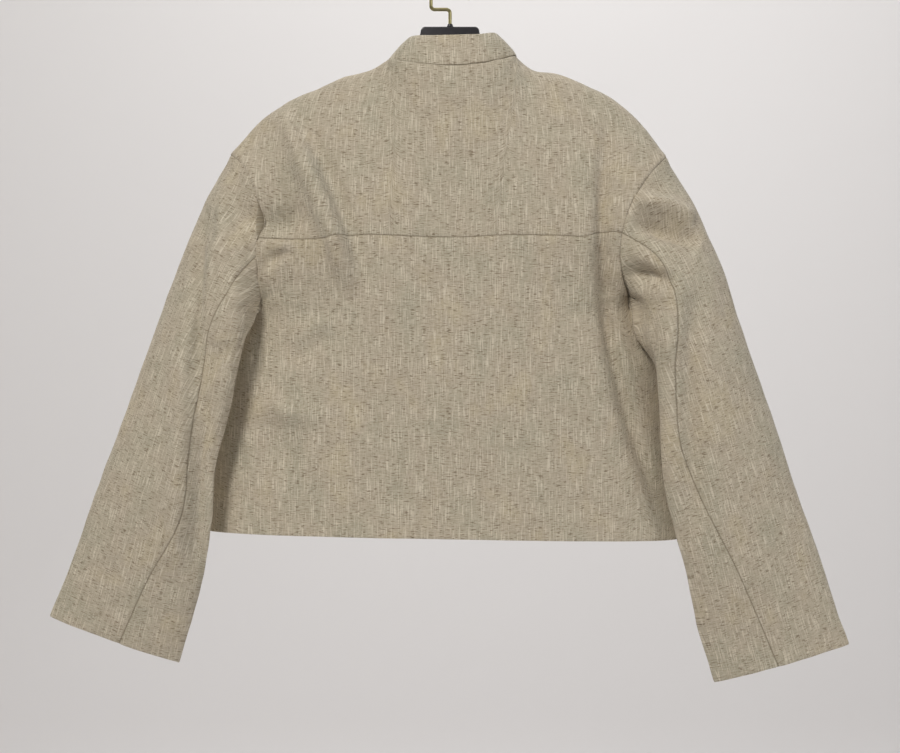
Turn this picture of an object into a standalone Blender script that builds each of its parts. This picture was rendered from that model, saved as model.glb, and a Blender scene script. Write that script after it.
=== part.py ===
"""A cropped stand collar jacket of firm linen cloth, hung on a plastic hanger with a wire hook.

The jacket's back faces -Y, its front +Y, and +X is the wearer's right.  The origin is the point of
the hook that rests on a rail, so everything else hangs below it.  Every cut piece of cloth is a wall of
its own, lofted through sections, and neighbouring pieces share one seam line with a small gap in it.
All tables and sizes are in millimetres.
"""

import math

import bmesh
import bpy
import numpy as np
from mathutils import Matrix, Vector

MM = 0.001

# ------------------------------------------------------------------ driving sizes
WALL = 1.8            # cloth with its turnings
SEAM_GAP = 0.3        # between neighbouring pieces
OVERLAP = 15.0        # each front runs this far past the centre
LIFT = WALL + 0.6     # the upper front lies this far outside the lower one

HEM_LEFT_Z, HEM_MIDDLE_Z, HEM_RIGHT_Z = -608.0, -611.5, -617.5
CHEST_BACK, CHEST_FRONT = 50.0, 47.0     # half depths of the body at the chest
HEM_BACK, HEM_FRONT = 43.0, 40.0         # and at the hem
SIDE_ROUNDING = 2.1                      # 2 is an ellipse, more is boxier
SHOULDER_ROLL, SHOULDER_ROLL_REACH = 0.2, 0.035
SHOULDER_TENT = 190.0                    # drop over which the cloth reaches its full depth
NECK_SMEAR = 0.16                        # how widely the neck's shape spreads into the yoke
SEAM_REACH = 24.0                        # how far a seam's own course reaches into its panel
EDGE_TURN = 95.0                        # height over which the body's edge turns to its side seam

NECK_CENTRE_X = 1.9
NECK_HALF_WIDTH = 70.2
NECK_BACK, NECK_FRONT = 42.0, 44.0
NECK_BACK_Z, NECK_FRONT_Z = -107.2, -152.0
NECK_LEFT_Z, NECK_RIGHT_Z = -92.5, -89.3
COLLAR_CENTRE_X, COLLAR_CENTRE_Y = 3.8, -2.0
COLLAR_HALF_WIDTH = 47.4
COLLAR_BACK, COLLAR_FRONT = 28.0, 34.0
COLLAR_BACK_Z, COLLAR_FRONT_Z = -72.7, -118.0
COLLAR_LEFT_Z, COLLAR_RIGHT_Z = -67.5, -64.3
COLLAR_END = 0.4                         # half the opening between the collar's ends

BUTTONS = 6
BUTTON_RADIUS, BUTTON_THICKNESS = 9.0, 3.0
BUTTON_TOP_Z, BUTTON_BOTTOM_Z = -184.0, -572.0

HANGER_THICKNESS, HANGER_DEPTH, HANGER_TIP_DEPTH = 9.0, 17.0, 12.0
HANGER_DROP = 7.2                        # arm's top edge below the shoulder's outer ridge
HANGER_TIP_X = 172.0
HANGER_NECK_HALF_WIDTH, HANGER_NECK_TOP_Z, HANGER_NECK_CORNER = 32.0, -56.9, 5.0
HANGER_NECK_FOOT_HALF_WIDTH, HANGER_NECK_FOOT_Z = 36.0, -82.0
HANGER_JOIN_X = 74.0
BOSS_RADIUS, BOSS_HEIGHT = 3.6, 3.2
WIRE_RADIUS = 1.95
HOOK_RADIUS = 20.8
HOOK_JOG_Z = -37.3
HOOK_BEND = 4.0
HOOK_END_ANGLE = 28.0                    # how far the hook's tip comes back round, past level

# ------------------------------------------------------------------ tables
# Shoulder seam from neck to armhole, seen from the back.
SHOULDER_LEFT = {"x": (-68.3, -82.0, -118.0, -142.1, -179.2, -204.4, -225.1, -238.8),
                 "z": (-92.5, -101.3, -112.2, -123.1, -140.1, -158.1, -180.0, -196.9)}
SHOULDER_RIGHT = {"x": (72.1, 83.1, 121.3, 151.9, 173.1, 191.2, 213.1, 235.4),
                  "z": (-89.3, -99.1, -108.9, -122.0, -132.4, -146.1, -168.5, -199.2)}

# Side seams of the body, from underarm to hem.
SIDE_LEFT = {"z": (-352.4, -366.0, -385.0, -408.0, -436.0, -466.0, -509.0, -552.0, -608.0),
             "x": (-210.2, -210.5, -219.0, -234.0, -246.0, -252.7, -259.3, -263.7, -268.0)}
SIDE_RIGHT = {"z": (-350.3, -362.0, -377.0, -405.0, -432.0, -466.0, -509.0, -552.0, -617.5),
              "x": (195.7, 197.0, 205.0, 219.0, 230.0, 235.0, 238.5, 243.0, 247.0)}
SIDE_SEAM_Y = 20.0

# Back yoke seam.
YOKE_SEAM = {"x": (-202.0, -172.7, -144.2, -99.9, -39.1, 2.1, 65.5, 143.4, 157.5, 182.0),
             "z": (-290.6, -291.7, -292.3, -288.3, -289.8, -290.9, -288.4, -289.6, -284.7, -284.5)}

# Sleeve sections from armhole to cuff.  "outer" and "inner" are the two edges of a flattened tube,
# "back" and "front" its half depths, "bow" how far its middle bends towards the body, and "seam" is
# how far the back seam lies from the outer edge, as a share of the visible width.
SLEEVE_COLUMNS = ("along", "outer_x", "outer_y", "outer_z", "inner_x", "inner_y", "inner_z",
                  "back", "front", "bow", "seam")
SLEEVE_LEFT = (
    (0.000, -238.8, 0.0, -196.9, -210.2, 9.0, -352.4, 42.0, 42.0, 20.7, 0.700),
    (0.089, -262.9, 0.0, -239.0, -215.0, -12.0, -361.0, 41.0, 34.0, 12.0, 0.727),
    (0.201, -287.4, 0.0, -294.7, -215.5, -36.0, -381.0, 36.0, 27.0, 6.0, 0.656),
    (0.351, -314.3, -4.0, -371.4, -222.5, -43.0, -412.0, 32.0, 25.0, 2.0, 0.607),
    (0.489, -339.5, -8.0, -442.2, -236.0, -41.0, -478.0, 31.0, 24.0, 0.0, 0.657),
    (0.595, -359.1, -8.0, -496.6, -253.0, -38.0, -534.0, 28.0, 22.0, 0.0, 0.755),
    (0.702, -379.2, -6.0, -551.1, -257.5, -32.0, -592.0, 25.0, 20.0, 0.0, 0.768),
    (0.850, -408.7, 0.0, -625.8, -272.0, -13.0, -674.0, 20.0, 18.0, 0.0, 0.620),
    (1.000, -439.1, 8.0, -701.5, -295.5, 6.0, -752.5, 12.0, 11.0, 0.0, 0.545),
)
SLEEVE_RIGHT = (
    (0.000, 235.4, 0.0, -199.2, 195.7, 9.0, -350.3, 42.0, 42.0, 30.5, 0.564),
    (0.110, 267.7, 0.0, -253.7, 205.0, -14.0, -356.0, 43.0, 35.0, 14.0, 0.560),
    (0.214, 291.8, 0.0, -307.8, 210.0, -22.0, -370.0, 41.0, 31.0, 6.0, 0.620),
    (0.339, 315.1, 0.0, -375.5, 210.0, -26.0, -400.0, 38.0, 29.0, 2.0, 0.700),
    (0.423, 330.4, 0.0, -421.4, 225.0, -27.0, -430.0, 36.0, 28.0, 0.0, 0.860),
    (0.502, 345.4, 2.0, -464.2, 229.0, -27.0, -498.0, 33.0, 27.0, 0.0, 0.870),
    (0.643, 371.3, 5.0, -541.1, 239.0, -22.0, -572.0, 28.0, 24.0, 0.0, 0.770),
    (0.786, 398.7, 9.0, -618.3, 257.0, -10.0, -655.0, 23.0, 20.0, 0.0, 0.650),
    (0.900, 419.5, 12.0, -678.0, 272.0, 3.0, -715.0, 18.0, 17.0, 0.0, 0.580),
    (1.000, 441.6, 15.0, -733.2, 290.8, 13.0, -775.4, 12.0, 11.0, 0.0, 0.543),
)
BOW_SHAPE = {"left": (1.5, 0.84), "right": (1.8, 0.0)}    # power, lean towards the shoulder
FRONT_BOW = 0.7                                           # the front's share of the bow
FRONT_SEAM_ANGLE = -145.0

# Soft folds of the back: a quadratic path through three heights, its half width and its depth, which
# is negative for a ridge.
FOLD_COLUMNS = ("x_top", "z_top", "x_mid", "z_mid", "x_low", "z_low", "half_width", "depth")
BACK_FOLDS = (
    (170.0, -146.0, 151.0, -290.0, 212.0, -578.0, 17.0, 10.0),
    (-172.0, -172.0, -142.0, -241.0, -96.0, -350.0, 16.0, -4.5),
    (-182.0, -190.0, -172.0, -240.0, -158.0, -300.0, 14.0, 4.5),
)

# Dents of the sleeves: where along, round which angle, their half reaches, and depth.
DENT_COLUMNS = ("along", "angle", "reach_along", "reach_angle", "depth")
DENTS = {
    "left": ((0.36, 96.0, 0.24, 15.0, 5.0), (0.07, 60.0, 0.05, 20.0, 4.0)),
    "right": ((0.11, 138.0, 0.05, 20.0, 9.0), (0.10, 62.0, 0.05, 22.0, 5.0)),
}

# How many cells each stretch of a seam is divided into.
YOKE_ROWS, ARMHOLE_BACK_ROWS, SIDE_ROWS = 6, 5, 9
ARMHOLE_FRONT_ROWS, UNDERARM_ROWS = 8, 2
SHOULDER_CELLS, BACK_NECK_CELLS, FRONT_NECK_CELLS = 8, 10, 5
SLEEVE_RINGS = 12
COLLAR_ROWS = 2
SPACING_POWER = 1.6                      # packs the cells closer near the shoulder
SIDE_PACKING = 1.35                      # and near the underarm


# ------------------------------------------------------------------ curves
def smooth(stations, values, at):
    """Cubic curve through a table's values: Hermite pieces with the table's own slopes."""
    s = np.asarray(stations, float)
    v = np.asarray(values, float)
    if s[0] > s[-1]:
        s, v = s[::-1], v[::-1]
    at = np.asarray(at, float)
    slope = np.gradient(v, s)
    i = np.clip(np.searchsorted(s, at, side="right") - 1, 0, len(s) - 2)
    h = s[i + 1] - s[i]
    f = (at - s[i]) / h
    return ((2 * f**3 - 3 * f**2 + 1) * v[i] + (f**3 - 2 * f**2 + f) * h * slope[i]
            + (3 * f**2 - 2 * f**3) * v[i + 1] + (f**3 - f**2) * h * slope[i + 1])


def step(f):
    """0 before 0, 1 after 1, smooth between."""
    f = np.clip(f, 0.0, 1.0)
    return f * f * (3.0 - 2.0 * f)


def column(table, names, name):
    return np.array([row[names.index(name)] for row in table])


def lengths(points):
    """Share of a polyline's length at each of its points."""
    run = np.concatenate([[0.0], np.cumsum(np.linalg.norm(np.diff(points, axis=0), axis=1))])
    return run / run[-1]


# ------------------------------------------------------------------ sleeve sections
def sleeve_table(side):
    return SLEEVE_LEFT if side == "left" else SLEEVE_RIGHT


def seam_angle(side, along):
    """Angle of the back seam round the section: 0 at the outer edge, 90 at the back."""
    table = sleeve_table(side)
    share = smooth(column(table, SLEEVE_COLUMNS, "along"), column(table, SLEEVE_COLUMNS, "seam"), along)
    return np.degrees(np.arccos(1.0 - 2.0 * share))


def section(side, along, angle):
    """Points of a sleeve's sections: a flattened ellipse from outer edge to inner edge and back."""
    table = sleeve_table(side)
    stations = column(table, SLEEVE_COLUMNS, "along")
    value = {name: smooth(stations, column(table, SLEEVE_COLUMNS, name), along)
             for name in SLEEVE_COLUMNS[1:-1]}
    c, s = np.cos(np.radians(angle)), np.sin(np.radians(angle))
    middle = {k: (value["outer_" + k] + value["inner_" + k]) / 2 for k in "xyz"}
    half = {k: (value["outer_" + k] - value["inner_" + k]) / 2 for k in "xyz"}
    depth = np.where(s > 0, value["back"], value["front"])
    power, lean = BOW_SHAPE[side]
    bow = value["bow"] * np.abs(s) ** power * (1.0 + lean * c) * np.where(s > 0, 1.0, FRONT_BOW)
    for row in DENTS[side]:
        row = dict(zip(DENT_COLUMNS, row))
        far = ((along - row["along"]) / row["reach_along"]) ** 2
        far = far + ((angle - row["angle"]) / row["reach_angle"]) ** 2
        depth = depth - row["depth"] * np.exp(-far) * step(along / 0.06) * np.sign(s)
    inward = 1.0 if side == "left" else -1.0
    x = middle["x"] + half["x"] * c + inward * bow
    y = middle["y"] + half["y"] * c - depth * s
    z = middle["z"] + half["z"] * c
    return np.stack([x, y, z], axis=-1)


def armhole_angles(side):
    """Angles shared by the sleeve and the body at the armhole, by stretch."""
    table = sleeve_table(side)
    top, bottom = table[0][SLEEVE_COLUMNS.index("outer_z")], table[0][SLEEVE_COLUMNS.index("inner_z")]
    yoke_z = YOKE_SEAM["z"][0 if side == "left" else -1]
    yoke = math.degrees(math.acos(1.0 - 2.0 * (top - yoke_z) / (top - bottom)))
    seam = float(seam_angle(side, 0.0))
    packed = (np.arange(YOKE_ROWS + 1) / YOKE_ROWS) ** SPACING_POWER
    front = (np.arange(ARMHOLE_FRONT_ROWS + 1) / ARMHOLE_FRONT_ROWS) ** SPACING_POWER
    if seam - yoke > 2.0:
        lower = np.concatenate([[yoke], np.linspace(seam, 180.0, ARMHOLE_BACK_ROWS)])
    else:
        seam = yoke
        lower = np.linspace(yoke, 180.0, ARMHOLE_BACK_ROWS + 1)
    return {"yoke": yoke * packed, "back": lower, "seam": seam,
            "front": np.concatenate([FRONT_SEAM_ANGLE * front,
                                     np.linspace(FRONT_SEAM_ANGLE, -180.0, UNDERARM_ROWS + 1)[1:]])}


def armhole(side, angles):
    return section(side, np.zeros(len(angles)), np.asarray(angles))


# ------------------------------------------------------------------ body outline
def shoulder(side, cells):
    """Shoulder seam from armhole to neck."""
    table = SHOULDER_LEFT if side == "left" else SHOULDER_RIGHT
    x = np.linspace(table["x"][-1], table["x"][0], cells + 1)
    return np.stack([x, np.zeros_like(x), smooth(table["x"], table["z"], x)], axis=1)


def lift(x):
    """The upper front, +X, lies outside the lower one near the centre."""
    return LIFT * step((46.0 - x) / 26.0)


def neck(turn, upper):
    """Neck seam by turn: 0 at the back centre, -180 and 180 at the front centre."""
    c, s = np.cos(np.radians(turn)), np.sin(np.radians(turn))
    side_z = np.where(s < 0, NECK_LEFT_Z, NECK_RIGHT_Z)
    x = NECK_CENTRE_X + NECK_HALF_WIDTH * s
    y = np.where(c > 0, -NECK_BACK * c, -NECK_FRONT * c)
    z = np.where(c > 0, NECK_BACK_Z, NECK_FRONT_Z)
    z = side_z + (z - side_z) * c * c
    y = y + np.where((c < 0) & upper, lift(x), 0.0)
    return np.stack([x, y, z], axis=-1)


def collar_edge(turn, upper):
    """Top edge of the collar, by the same turn."""
    c, s = np.cos(np.radians(turn)), np.sin(np.radians(turn))
    side_z = np.where(s < 0, COLLAR_LEFT_Z, COLLAR_RIGHT_Z)
    x = COLLAR_CENTRE_X + COLLAR_HALF_WIDTH * s
    y = COLLAR_CENTRE_Y + np.where(c > 0, -COLLAR_BACK * c, -COLLAR_FRONT * c)
    z = np.where(c > 0, COLLAR_BACK_Z, COLLAR_FRONT_Z)
    z = side_z + (z - side_z) * c * c
    y = y + np.where((c < 0) & upper, lift(x), 0.0)
    return np.stack([x, y, z], axis=-1)


def neck_turn_end():
    """Turn at which the collar's ends stop, short of the front centre."""
    return 180.0 - math.degrees(math.asin(COLLAR_END / NECK_HALF_WIDTH))


def hem_z(x):
    return smooth((SIDE_LEFT["x"][-1], 0.0, SIDE_RIGHT["x"][-1]), (HEM_LEFT_Z, HEM_MIDDLE_Z, HEM_RIGHT_Z), x)


def side_seam(side):
    """Side seam from underarm to hem."""
    table = SIDE_LEFT if side == "left" else SIDE_RIGHT
    run = (np.arange(SIDE_ROWS + 1) / SIDE_ROWS) ** SIDE_PACKING
    z = table["z"][0] + (table["z"][-1] - table["z"][0]) * run
    start = sleeve_table(side)[0][SLEEVE_COLUMNS.index("inner_y")]
    y = start + (SIDE_SEAM_Y - start) * step((z[0] - z) / 45.0)
    return np.stack([smooth(table["z"], table["x"], z), y, z], axis=1)


def fold_depth(x, z):
    """Total depth of the back's soft folds at each place."""
    total = np.zeros_like(x)
    for row in BACK_FOLDS:
        fold = dict(zip(FOLD_COLUMNS, row))
        knots = [fold["z_top"], fold["z_mid"], fold["z_low"]]
        path = np.polyval(np.polyfit(knots, [fold["x_top"], fold["x_mid"], fold["x_low"]], 2), z)
        share = (fold["z_top"] - z) / (fold["z_top"] - fold["z_low"])
        ends = step(share / 0.25) * step((1.0 - share) / 0.3)
        total = total + fold["depth"] * ends * np.exp(-((x - path) / fold["half_width"]) ** 2)
    return total


# ------------------------------------------------------------------ panels
def patch(left, right, top, bottom, u, v):
    """Coons patch in x and z between four edges, which share their corners."""
    u, v = u[None, :, None], v[:, None, None]
    blend = (1 - v) * top[None] + v * bottom[None] + (1 - u) * left[:, None] + u * right[:, None]
    corners = ((1 - u) * (1 - v) * top[0] + u * (1 - v) * top[-1]
               + (1 - u) * v * bottom[0] + u * v * bottom[-1])
    return blend - corners


def shoulder_fall(v):
    """How fast the cloth leaves the shoulder ridge for its full depth."""
    fall = (SHOULDER_ROLL * (1 - np.exp(-v / SHOULDER_ROLL_REACH))
            + (1 - SHOULDER_ROLL) * (1 - (1 - v) ** 1.8))
    return fall / fall[-1]


def roundness(u):
    """Share of the full depth across the body: 0 at both side seams, 1 in the middle."""
    return (1 - np.abs(2 * u - 1) ** SIDE_ROUNDING) ** (1 / SIDE_ROUNDING)


def half_roundness(u):
    return (1 - (1 - u) ** SIDE_ROUNDING) ** (1 / SIDE_ROUNDING)


def yoke_top():
    """Upper edge of the yoke: left shoulder, back neck, right shoulder."""
    turns = np.linspace(-90.0, 90.0, BACK_NECK_CELLS + 1)
    return np.concatenate([shoulder("left", SHOULDER_CELLS)[:-1], neck(turns, False),
                           shoulder("right", SHOULDER_CELLS)[::-1][1:]])


def share_across(edge):
    return (edge[:, 0] - edge[0, 0]) / (edge[-1, 0] - edge[0, 0])


def yoke_seam_row(u, left, right):
    """The yoke's lower edge, which is the lower back's upper edge."""
    x = left[0] + (right[0] - left[0]) * u
    z = smooth(YOKE_SEAM["x"], YOKE_SEAM["z"], x)
    z[0], z[-1] = left[2], right[2]
    y = (1 - u) * left[1] + u * right[1]
    y = y + (-CHEST_BACK - y) * roundness(u)
    return np.stack([x, y, z], axis=1)


def smeared(values, u, width):
    """Values along u, each averaged with its neighbours over a Gaussian of this width."""
    weight = np.exp(-((u[:, None] - u[None, :]) / width) ** 2) * np.gradient(u)[None, :]
    return weight @ values / weight.sum(axis=1)


def seam_pull(grid, wanted, edge):
    """Brings a panel's edge to its seam: the whole way at the edge, dying out within SEAM_REACH."""
    columns = grid if edge == 0 else grid[:, ::-1]
    away = np.linalg.norm(columns[:, :, ::2] - columns[:, :1, ::2], axis=-1)
    return (wanted - columns[:, 0, 1])[:, None] * np.exp(-(away / SEAM_REACH) ** 1.3)


def build_yoke():
    left = armhole("left", armhole_angles("left")["yoke"])
    right = armhole("right", armhole_angles("right")["yoke"])
    top = yoke_top()
    u, v = share_across(top), lengths(left)
    bottom = yoke_seam_row(u, left[-1], right[-1])
    grid = patch(left, right, top, bottom, u, v)
    fall = shoulder_fall(v)
    recess = top[:, 1] - bottom[:, 1]
    for i, share in enumerate(v):
        rest = smeared(recess, u, NECK_SMEAR * share) if 0 < share < 1 else recess
        grid[i, :, 1] = bottom[:, 1] + rest * (1 - fall[i])
    pull_left, pull_right = seam_pull(grid, left[:, 1], 0), seam_pull(grid, right[:, 1], -1)
    grid[..., 1] += pull_left + pull_right[:, ::-1]
    grid[:, 0, 1], grid[:, -1, 1], grid[0, :, 1] = left[:, 1], right[:, 1], top[:, 1]
    soft = np.clip(-grid[1:, 1:-1, 1] / CHEST_BACK - 0.15, 0.0, 0.85) / 0.85
    grid[1:, 1:-1, 1] += fold_depth(grid[1:, 1:-1, 0], grid[1:, 1:-1, 2]) * soft
    return grid


def edge_depth(z, yoke_y):
    """Smooth course of the body's edge in y, from the yoke seam to the side seam."""
    return yoke_y + (SIDE_SEAM_Y - yoke_y) * step((z[0] - z) / EDGE_TURN)


def build_lower_back():
    edge = {}
    for side in ("left", "right"):
        edge[side] = np.concatenate([armhole(side, armhole_angles(side)["back"])[:-1], side_seam(side)])
    left, right = edge["left"], edge["right"]
    u = share_across(yoke_top())
    top = yoke_seam_row(u, left[0], right[0])
    x = left[-1, 0] + (right[-1, 0] - left[-1, 0]) * u
    bottom = np.stack([x, 0 * x, hem_z(x)], axis=1)
    v = lengths((left + right) / 2)
    grid = patch(left, right, top, bottom, u, v)
    depth = -CHEST_BACK + (CHEST_BACK - HEM_BACK) * step((v - 0.25) / 0.75)
    soft_left = edge_depth(left[:, 2], left[0, 1])
    soft_right = edge_depth(right[:, 2], right[0, 1])
    between = (1 - u)[None] * soft_left[:, None] + u[None] * soft_right[:, None]
    grid[..., 1] = between + (depth[:, None] - between) * roundness(u)[None]
    pull_left, pull_right = seam_pull(grid, left[:, 1], 0), seam_pull(grid, right[:, 1], -1)
    grid[..., 1] += pull_left + pull_right[:, ::-1]
    grid[:, 0, 1], grid[:, -1, 1], grid[0, :, 1] = left[:, 1], right[:, 1], top[:, 1]
    grid[:, 1:-1, 1] += fold_depth(grid[:, 1:-1, 0], grid[:, 1:-1, 2])
    return grid


def build_front(side):
    """A front from armhole and side seam to just past the centre."""
    upper = side == "right"
    outer = np.concatenate([armhole(side, armhole_angles(side)["front"])[:-1], side_seam(side)])
    end = neck_turn_end() if upper else -neck_turn_end()
    turns = np.linspace(90.0 if upper else -90.0, end, FRONT_NECK_CELLS + 1)
    top = np.concatenate([shoulder(side, SHOULDER_CELLS)[:-1], neck(turns, upper)])
    plain_y = np.concatenate([np.zeros(SHOULDER_CELLS), neck(turns, False)[:, 1]])
    u, v = share_across(top), lengths(outer)
    foot = hem_z(top[-1, 0])
    inner = np.stack([np.full(len(v), top[-1, 0]), 0 * v, top[-1, 2] + (foot - top[-1, 2]) * v], axis=1)
    x = outer[-1, 0] + (inner[-1, 0] - outer[-1, 0]) * u
    bottom = np.stack([x, 0 * x, hem_z(x)], axis=1)
    grid = patch(outer, inner, top, bottom, u, v)

    depth = CHEST_FRONT - (CHEST_FRONT - HEM_FRONT) * step((v - 0.45) / 0.55)
    widest = outer[:, 1].max()
    low = np.minimum(outer[:, 2], outer[ARMHOLE_FRONT_ROWS // 2 + 1, 2])
    soft = edge_depth(low, widest)
    full = soft[:, None] + (depth[:, None] - soft[:, None]) * half_roundness(u)[None]
    drop = np.clip((top[None, :, 2] - grid[..., 2]) / SHOULDER_TENT, 0.0, 1.0)
    fall = (SHOULDER_ROLL * (1 - np.exp(-drop / SHOULDER_ROLL_REACH))
            + (1 - SHOULDER_ROLL) * (1 - (1 - drop) ** 1.8))
    for i, share in enumerate(v):
        recess = full[i] - plain_y
        rest = smeared(recess, u, 2 * NECK_SMEAR * min(1.0, 2.5 * share)) if share > 0 else recess
        grid[i, :, 1] = full[i] - rest * (1 - fall[i])
    grid[..., 1] += seam_pull(grid, outer[:, 1], 0)
    grid[:, 0, 1], grid[0, :, 1] = outer[:, 1], plain_y
    if upper:
        grid[..., 1] += lift(grid[..., 0]) * (np.arange(len(u)) >= SHOULDER_CELLS)
        grid[0, :, 1] = top[:, 1]
    last, before = grid[:, -1:], grid[:, -2:-1]
    off_last, off_before = (np.abs(g[..., :1] - NECK_CENTRE_X) for g in (last, before))
    past = last + (before - last) * (OVERLAP - off_last) / (off_before - off_last)
    past[..., 0] = NECK_CENTRE_X + (-OVERLAP if upper else OVERLAP)
    return np.concatenate([grid, past], axis=1)


def collar_turns():
    end = neck_turn_end()
    front = np.linspace(90.0, end, FRONT_NECK_CELLS + 1)[1:]
    return np.concatenate([-front[::-1], np.linspace(-90.0, 90.0, BACK_NECK_CELLS + 1), front])


def build_collar():
    turns = collar_turns()
    upper = turns > 0
    low, high = neck(turns, upper), collar_edge(turns, upper)
    high[0, 0], high[-1, 0] = low[0, 0], low[-1, 0]
    v = np.linspace(0.0, 1.0, COLLAR_ROWS + 1)[:, None, None]
    belly = np.sin(np.pi * v) * 1.5
    out = low - high
    out[:, 2] = 0.0
    out /= np.maximum(np.linalg.norm(out, axis=1, keepdims=True), 1e-6)
    return high[None] + (low - high)[None] * v + belly * out[None]


def build_sleeve(side, part):
    """Top or under sleeve: rings from armhole to cuff, between the back seam and the front seam."""
    ring = armhole_angles(side)
    seam0 = ring["seam"]
    if part == "top":
        back = np.concatenate([ring["yoke"], ring["back"][ring["back"] <= seam0 + 0.01][1:]])
        start = np.concatenate([ring["front"][:ARMHOLE_FRONT_ROWS + 1][::-1][:-1], back])
    else:
        back = ring["back"][ring["back"] >= seam0 - 0.01]
        start = np.concatenate([back, 360.0 + ring["front"][ARMHOLE_FRONT_ROWS:][::-1][1:]])
    along = (np.arange(SLEEVE_RINGS + 1) / SLEEVE_RINGS)
    along = along * (0.75 + 0.25 * along)
    seam = seam_angle(side, along)[:, None]
    seam[0] = seam0
    start = start[None, :]
    if part == "top":
        angle = np.where(start > 0, start * seam / seam0, start + 0 * seam)
    else:
        end = 360.0 + FRONT_SEAM_ANGLE
        angle = end - (end - start) * (end - seam) / (end - seam0)
    return section(side, np.broadcast_to(along[:, None], angle.shape), angle)


# ------------------------------------------------------------------ walls
def quads(rows, cols):
    i, j = np.meshgrid(np.arange(rows - 1), np.arange(cols - 1), indexing="ij")
    a = (i * cols + j).ravel()
    return np.stack([a, a + 1, a + cols + 1, a + cols], axis=1)


def wall_offsets(panels):
    """Inward wall vector at each point, the same on both sides of a seam.

    The face normals of all panels are added up at each shared place, so two pieces that meet in a
    seam get parallel edges and their walls never run into each other.
    """
    points = np.concatenate([grid.reshape(-1, 3) for grid, _ in panels.values()])
    faces, start = [], 0
    for grid, flip in panels.values():
        face = quads(*grid.shape[:2]) + start
        faces.append(face[:, ::-1] if flip else face)
        start += grid.shape[0] * grid.shape[1]
    faces = np.concatenate(faces)
    _, place = np.unique(np.round(points + 0.00017, 3), axis=0, return_inverse=True)
    place = place.ravel()
    cross = np.cross(points[faces[:, 3]] - points[faces[:, 1]], points[faces[:, 2]] - points[faces[:, 0]])
    unit = cross / np.maximum(np.linalg.norm(cross, axis=1, keepdims=True), 1e-9)
    total = np.zeros((place.max() + 1, 3))
    for k in range(4):
        np.add.at(total, place[faces[:, k]], unit)
    total /= np.maximum(np.linalg.norm(total, axis=1, keepdims=True), 1e-9)
    near = total.copy()
    for k in range(4):
        for m in range(4):
            np.add.at(near, place[faces[:, k]], 0.25 * total[place[faces[:, m]]])
    total = near / np.maximum(np.linalg.norm(near, axis=1, keepdims=True), 1e-9)
    along = np.zeros(len(total))
    count = np.zeros(len(total))
    for k in range(4):
        np.add.at(along, place[faces[:, k]], np.sum(total[place[faces[:, k]]] * unit, axis=1))
        np.add.at(count, place[faces[:, k]], 1.0)
    stretch = 1.0 / np.clip(along / np.maximum(count, 1.0), 0.7, 1.0)
    inward = -(total * stretch[:, None] * WALL)[place]
    result, start = {}, 0
    for name, (grid, _) in panels.items():
        size = grid.shape[0] * grid.shape[1]
        result[name] = inward[start:start + size].reshape(grid.shape)
        start += size
    return result


def edge_shift(grid, inward):
    """Moves of the four edges by half a seam gap, across the rim and square to the wall."""
    shift = np.zeros_like(grid)
    for axis in (0, 1):
        g, n, out = (np.moveaxis(a, axis, 0) for a in (grid, inward, shift))
        for edge, inside in ((0, 1), (-1, -2)):
            way = g[inside] - g[edge]
            normal = n[edge] / np.linalg.norm(n[edge], axis=-1, keepdims=True)
            way = way - normal * np.sum(way * normal, axis=-1, keepdims=True)
            way = way / np.maximum(np.linalg.norm(way, axis=-1, keepdims=True), 1e-9)
            out[edge] += way * SEAM_GAP * 0.6
    return shift


def wall_mesh(name, grid, inward):
    """Closed wall: outer face, inner face and the rim between them."""
    rows, cols = grid.shape[:2]
    outer = grid + edge_shift(grid, inward)
    inner = outer + inward
    points = np.concatenate([outer.reshape(-1, 3), inner.reshape(-1, 3)]) * MM
    face = quads(rows, cols)
    index = np.arange(rows * cols).reshape(rows, cols)
    loop = np.concatenate([index[0, :-1], index[:-1, -1], index[-1, :0:-1], index[:0:-1, 0]])
    after = np.roll(loop, -1)
    place = grid.reshape(-1, 3) @ (1.0, 7.0, 31.0)
    split = (place[loop] < place[after])[:, None]     # neighbours divide a shared rim the same way
    one = np.where(split, np.stack([loop, after, after + rows * cols], axis=1),
                   np.stack([loop, after, loop + rows * cols], axis=1))
    two = np.where(split, np.stack([loop, after + rows * cols, loop + rows * cols], axis=1),
                   np.stack([after, after + rows * cols, loop + rows * cols], axis=1))
    faces = [*face[:, ::-1].tolist(), *(face + rows * cols).tolist(), *one.tolist(), *two.tolist()]
    mesh = bpy.data.meshes.new(name)
    mesh.from_pydata(points.tolist(), [], faces)
    bm = bmesh.new()
    bm.from_mesh(mesh)
    bmesh.ops.triangulate(bm, faces=bm.faces[:])
    bmesh.ops.recalc_face_normals(bm, faces=bm.faces[:])
    bm.to_mesh(mesh)
    bm.free()
    mesh.shade_smooth()
    return mesh


# ------------------------------------------------------------------ materials and objects
def make_material(name, colour, roughness, metallic=0.0):
    material = bpy.data.materials.new(name)
    material.use_nodes = True
    shader = material.node_tree.nodes["Principled BSDF"]
    shader.inputs["Base Color"].default_value = (*colour, 1.0)
    shader.inputs["Roughness"].default_value = roughness
    shader.inputs["Metallic"].default_value = metallic
    return material


def add_object(name, data, material, collection, parent, location=(0.0, 0.0, 0.0)):
    obj = bpy.data.objects.new(name, data)
    obj.location = location
    data.materials.append(material)
    collection.objects.link(obj)
    obj.parent = parent
    return obj


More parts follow.
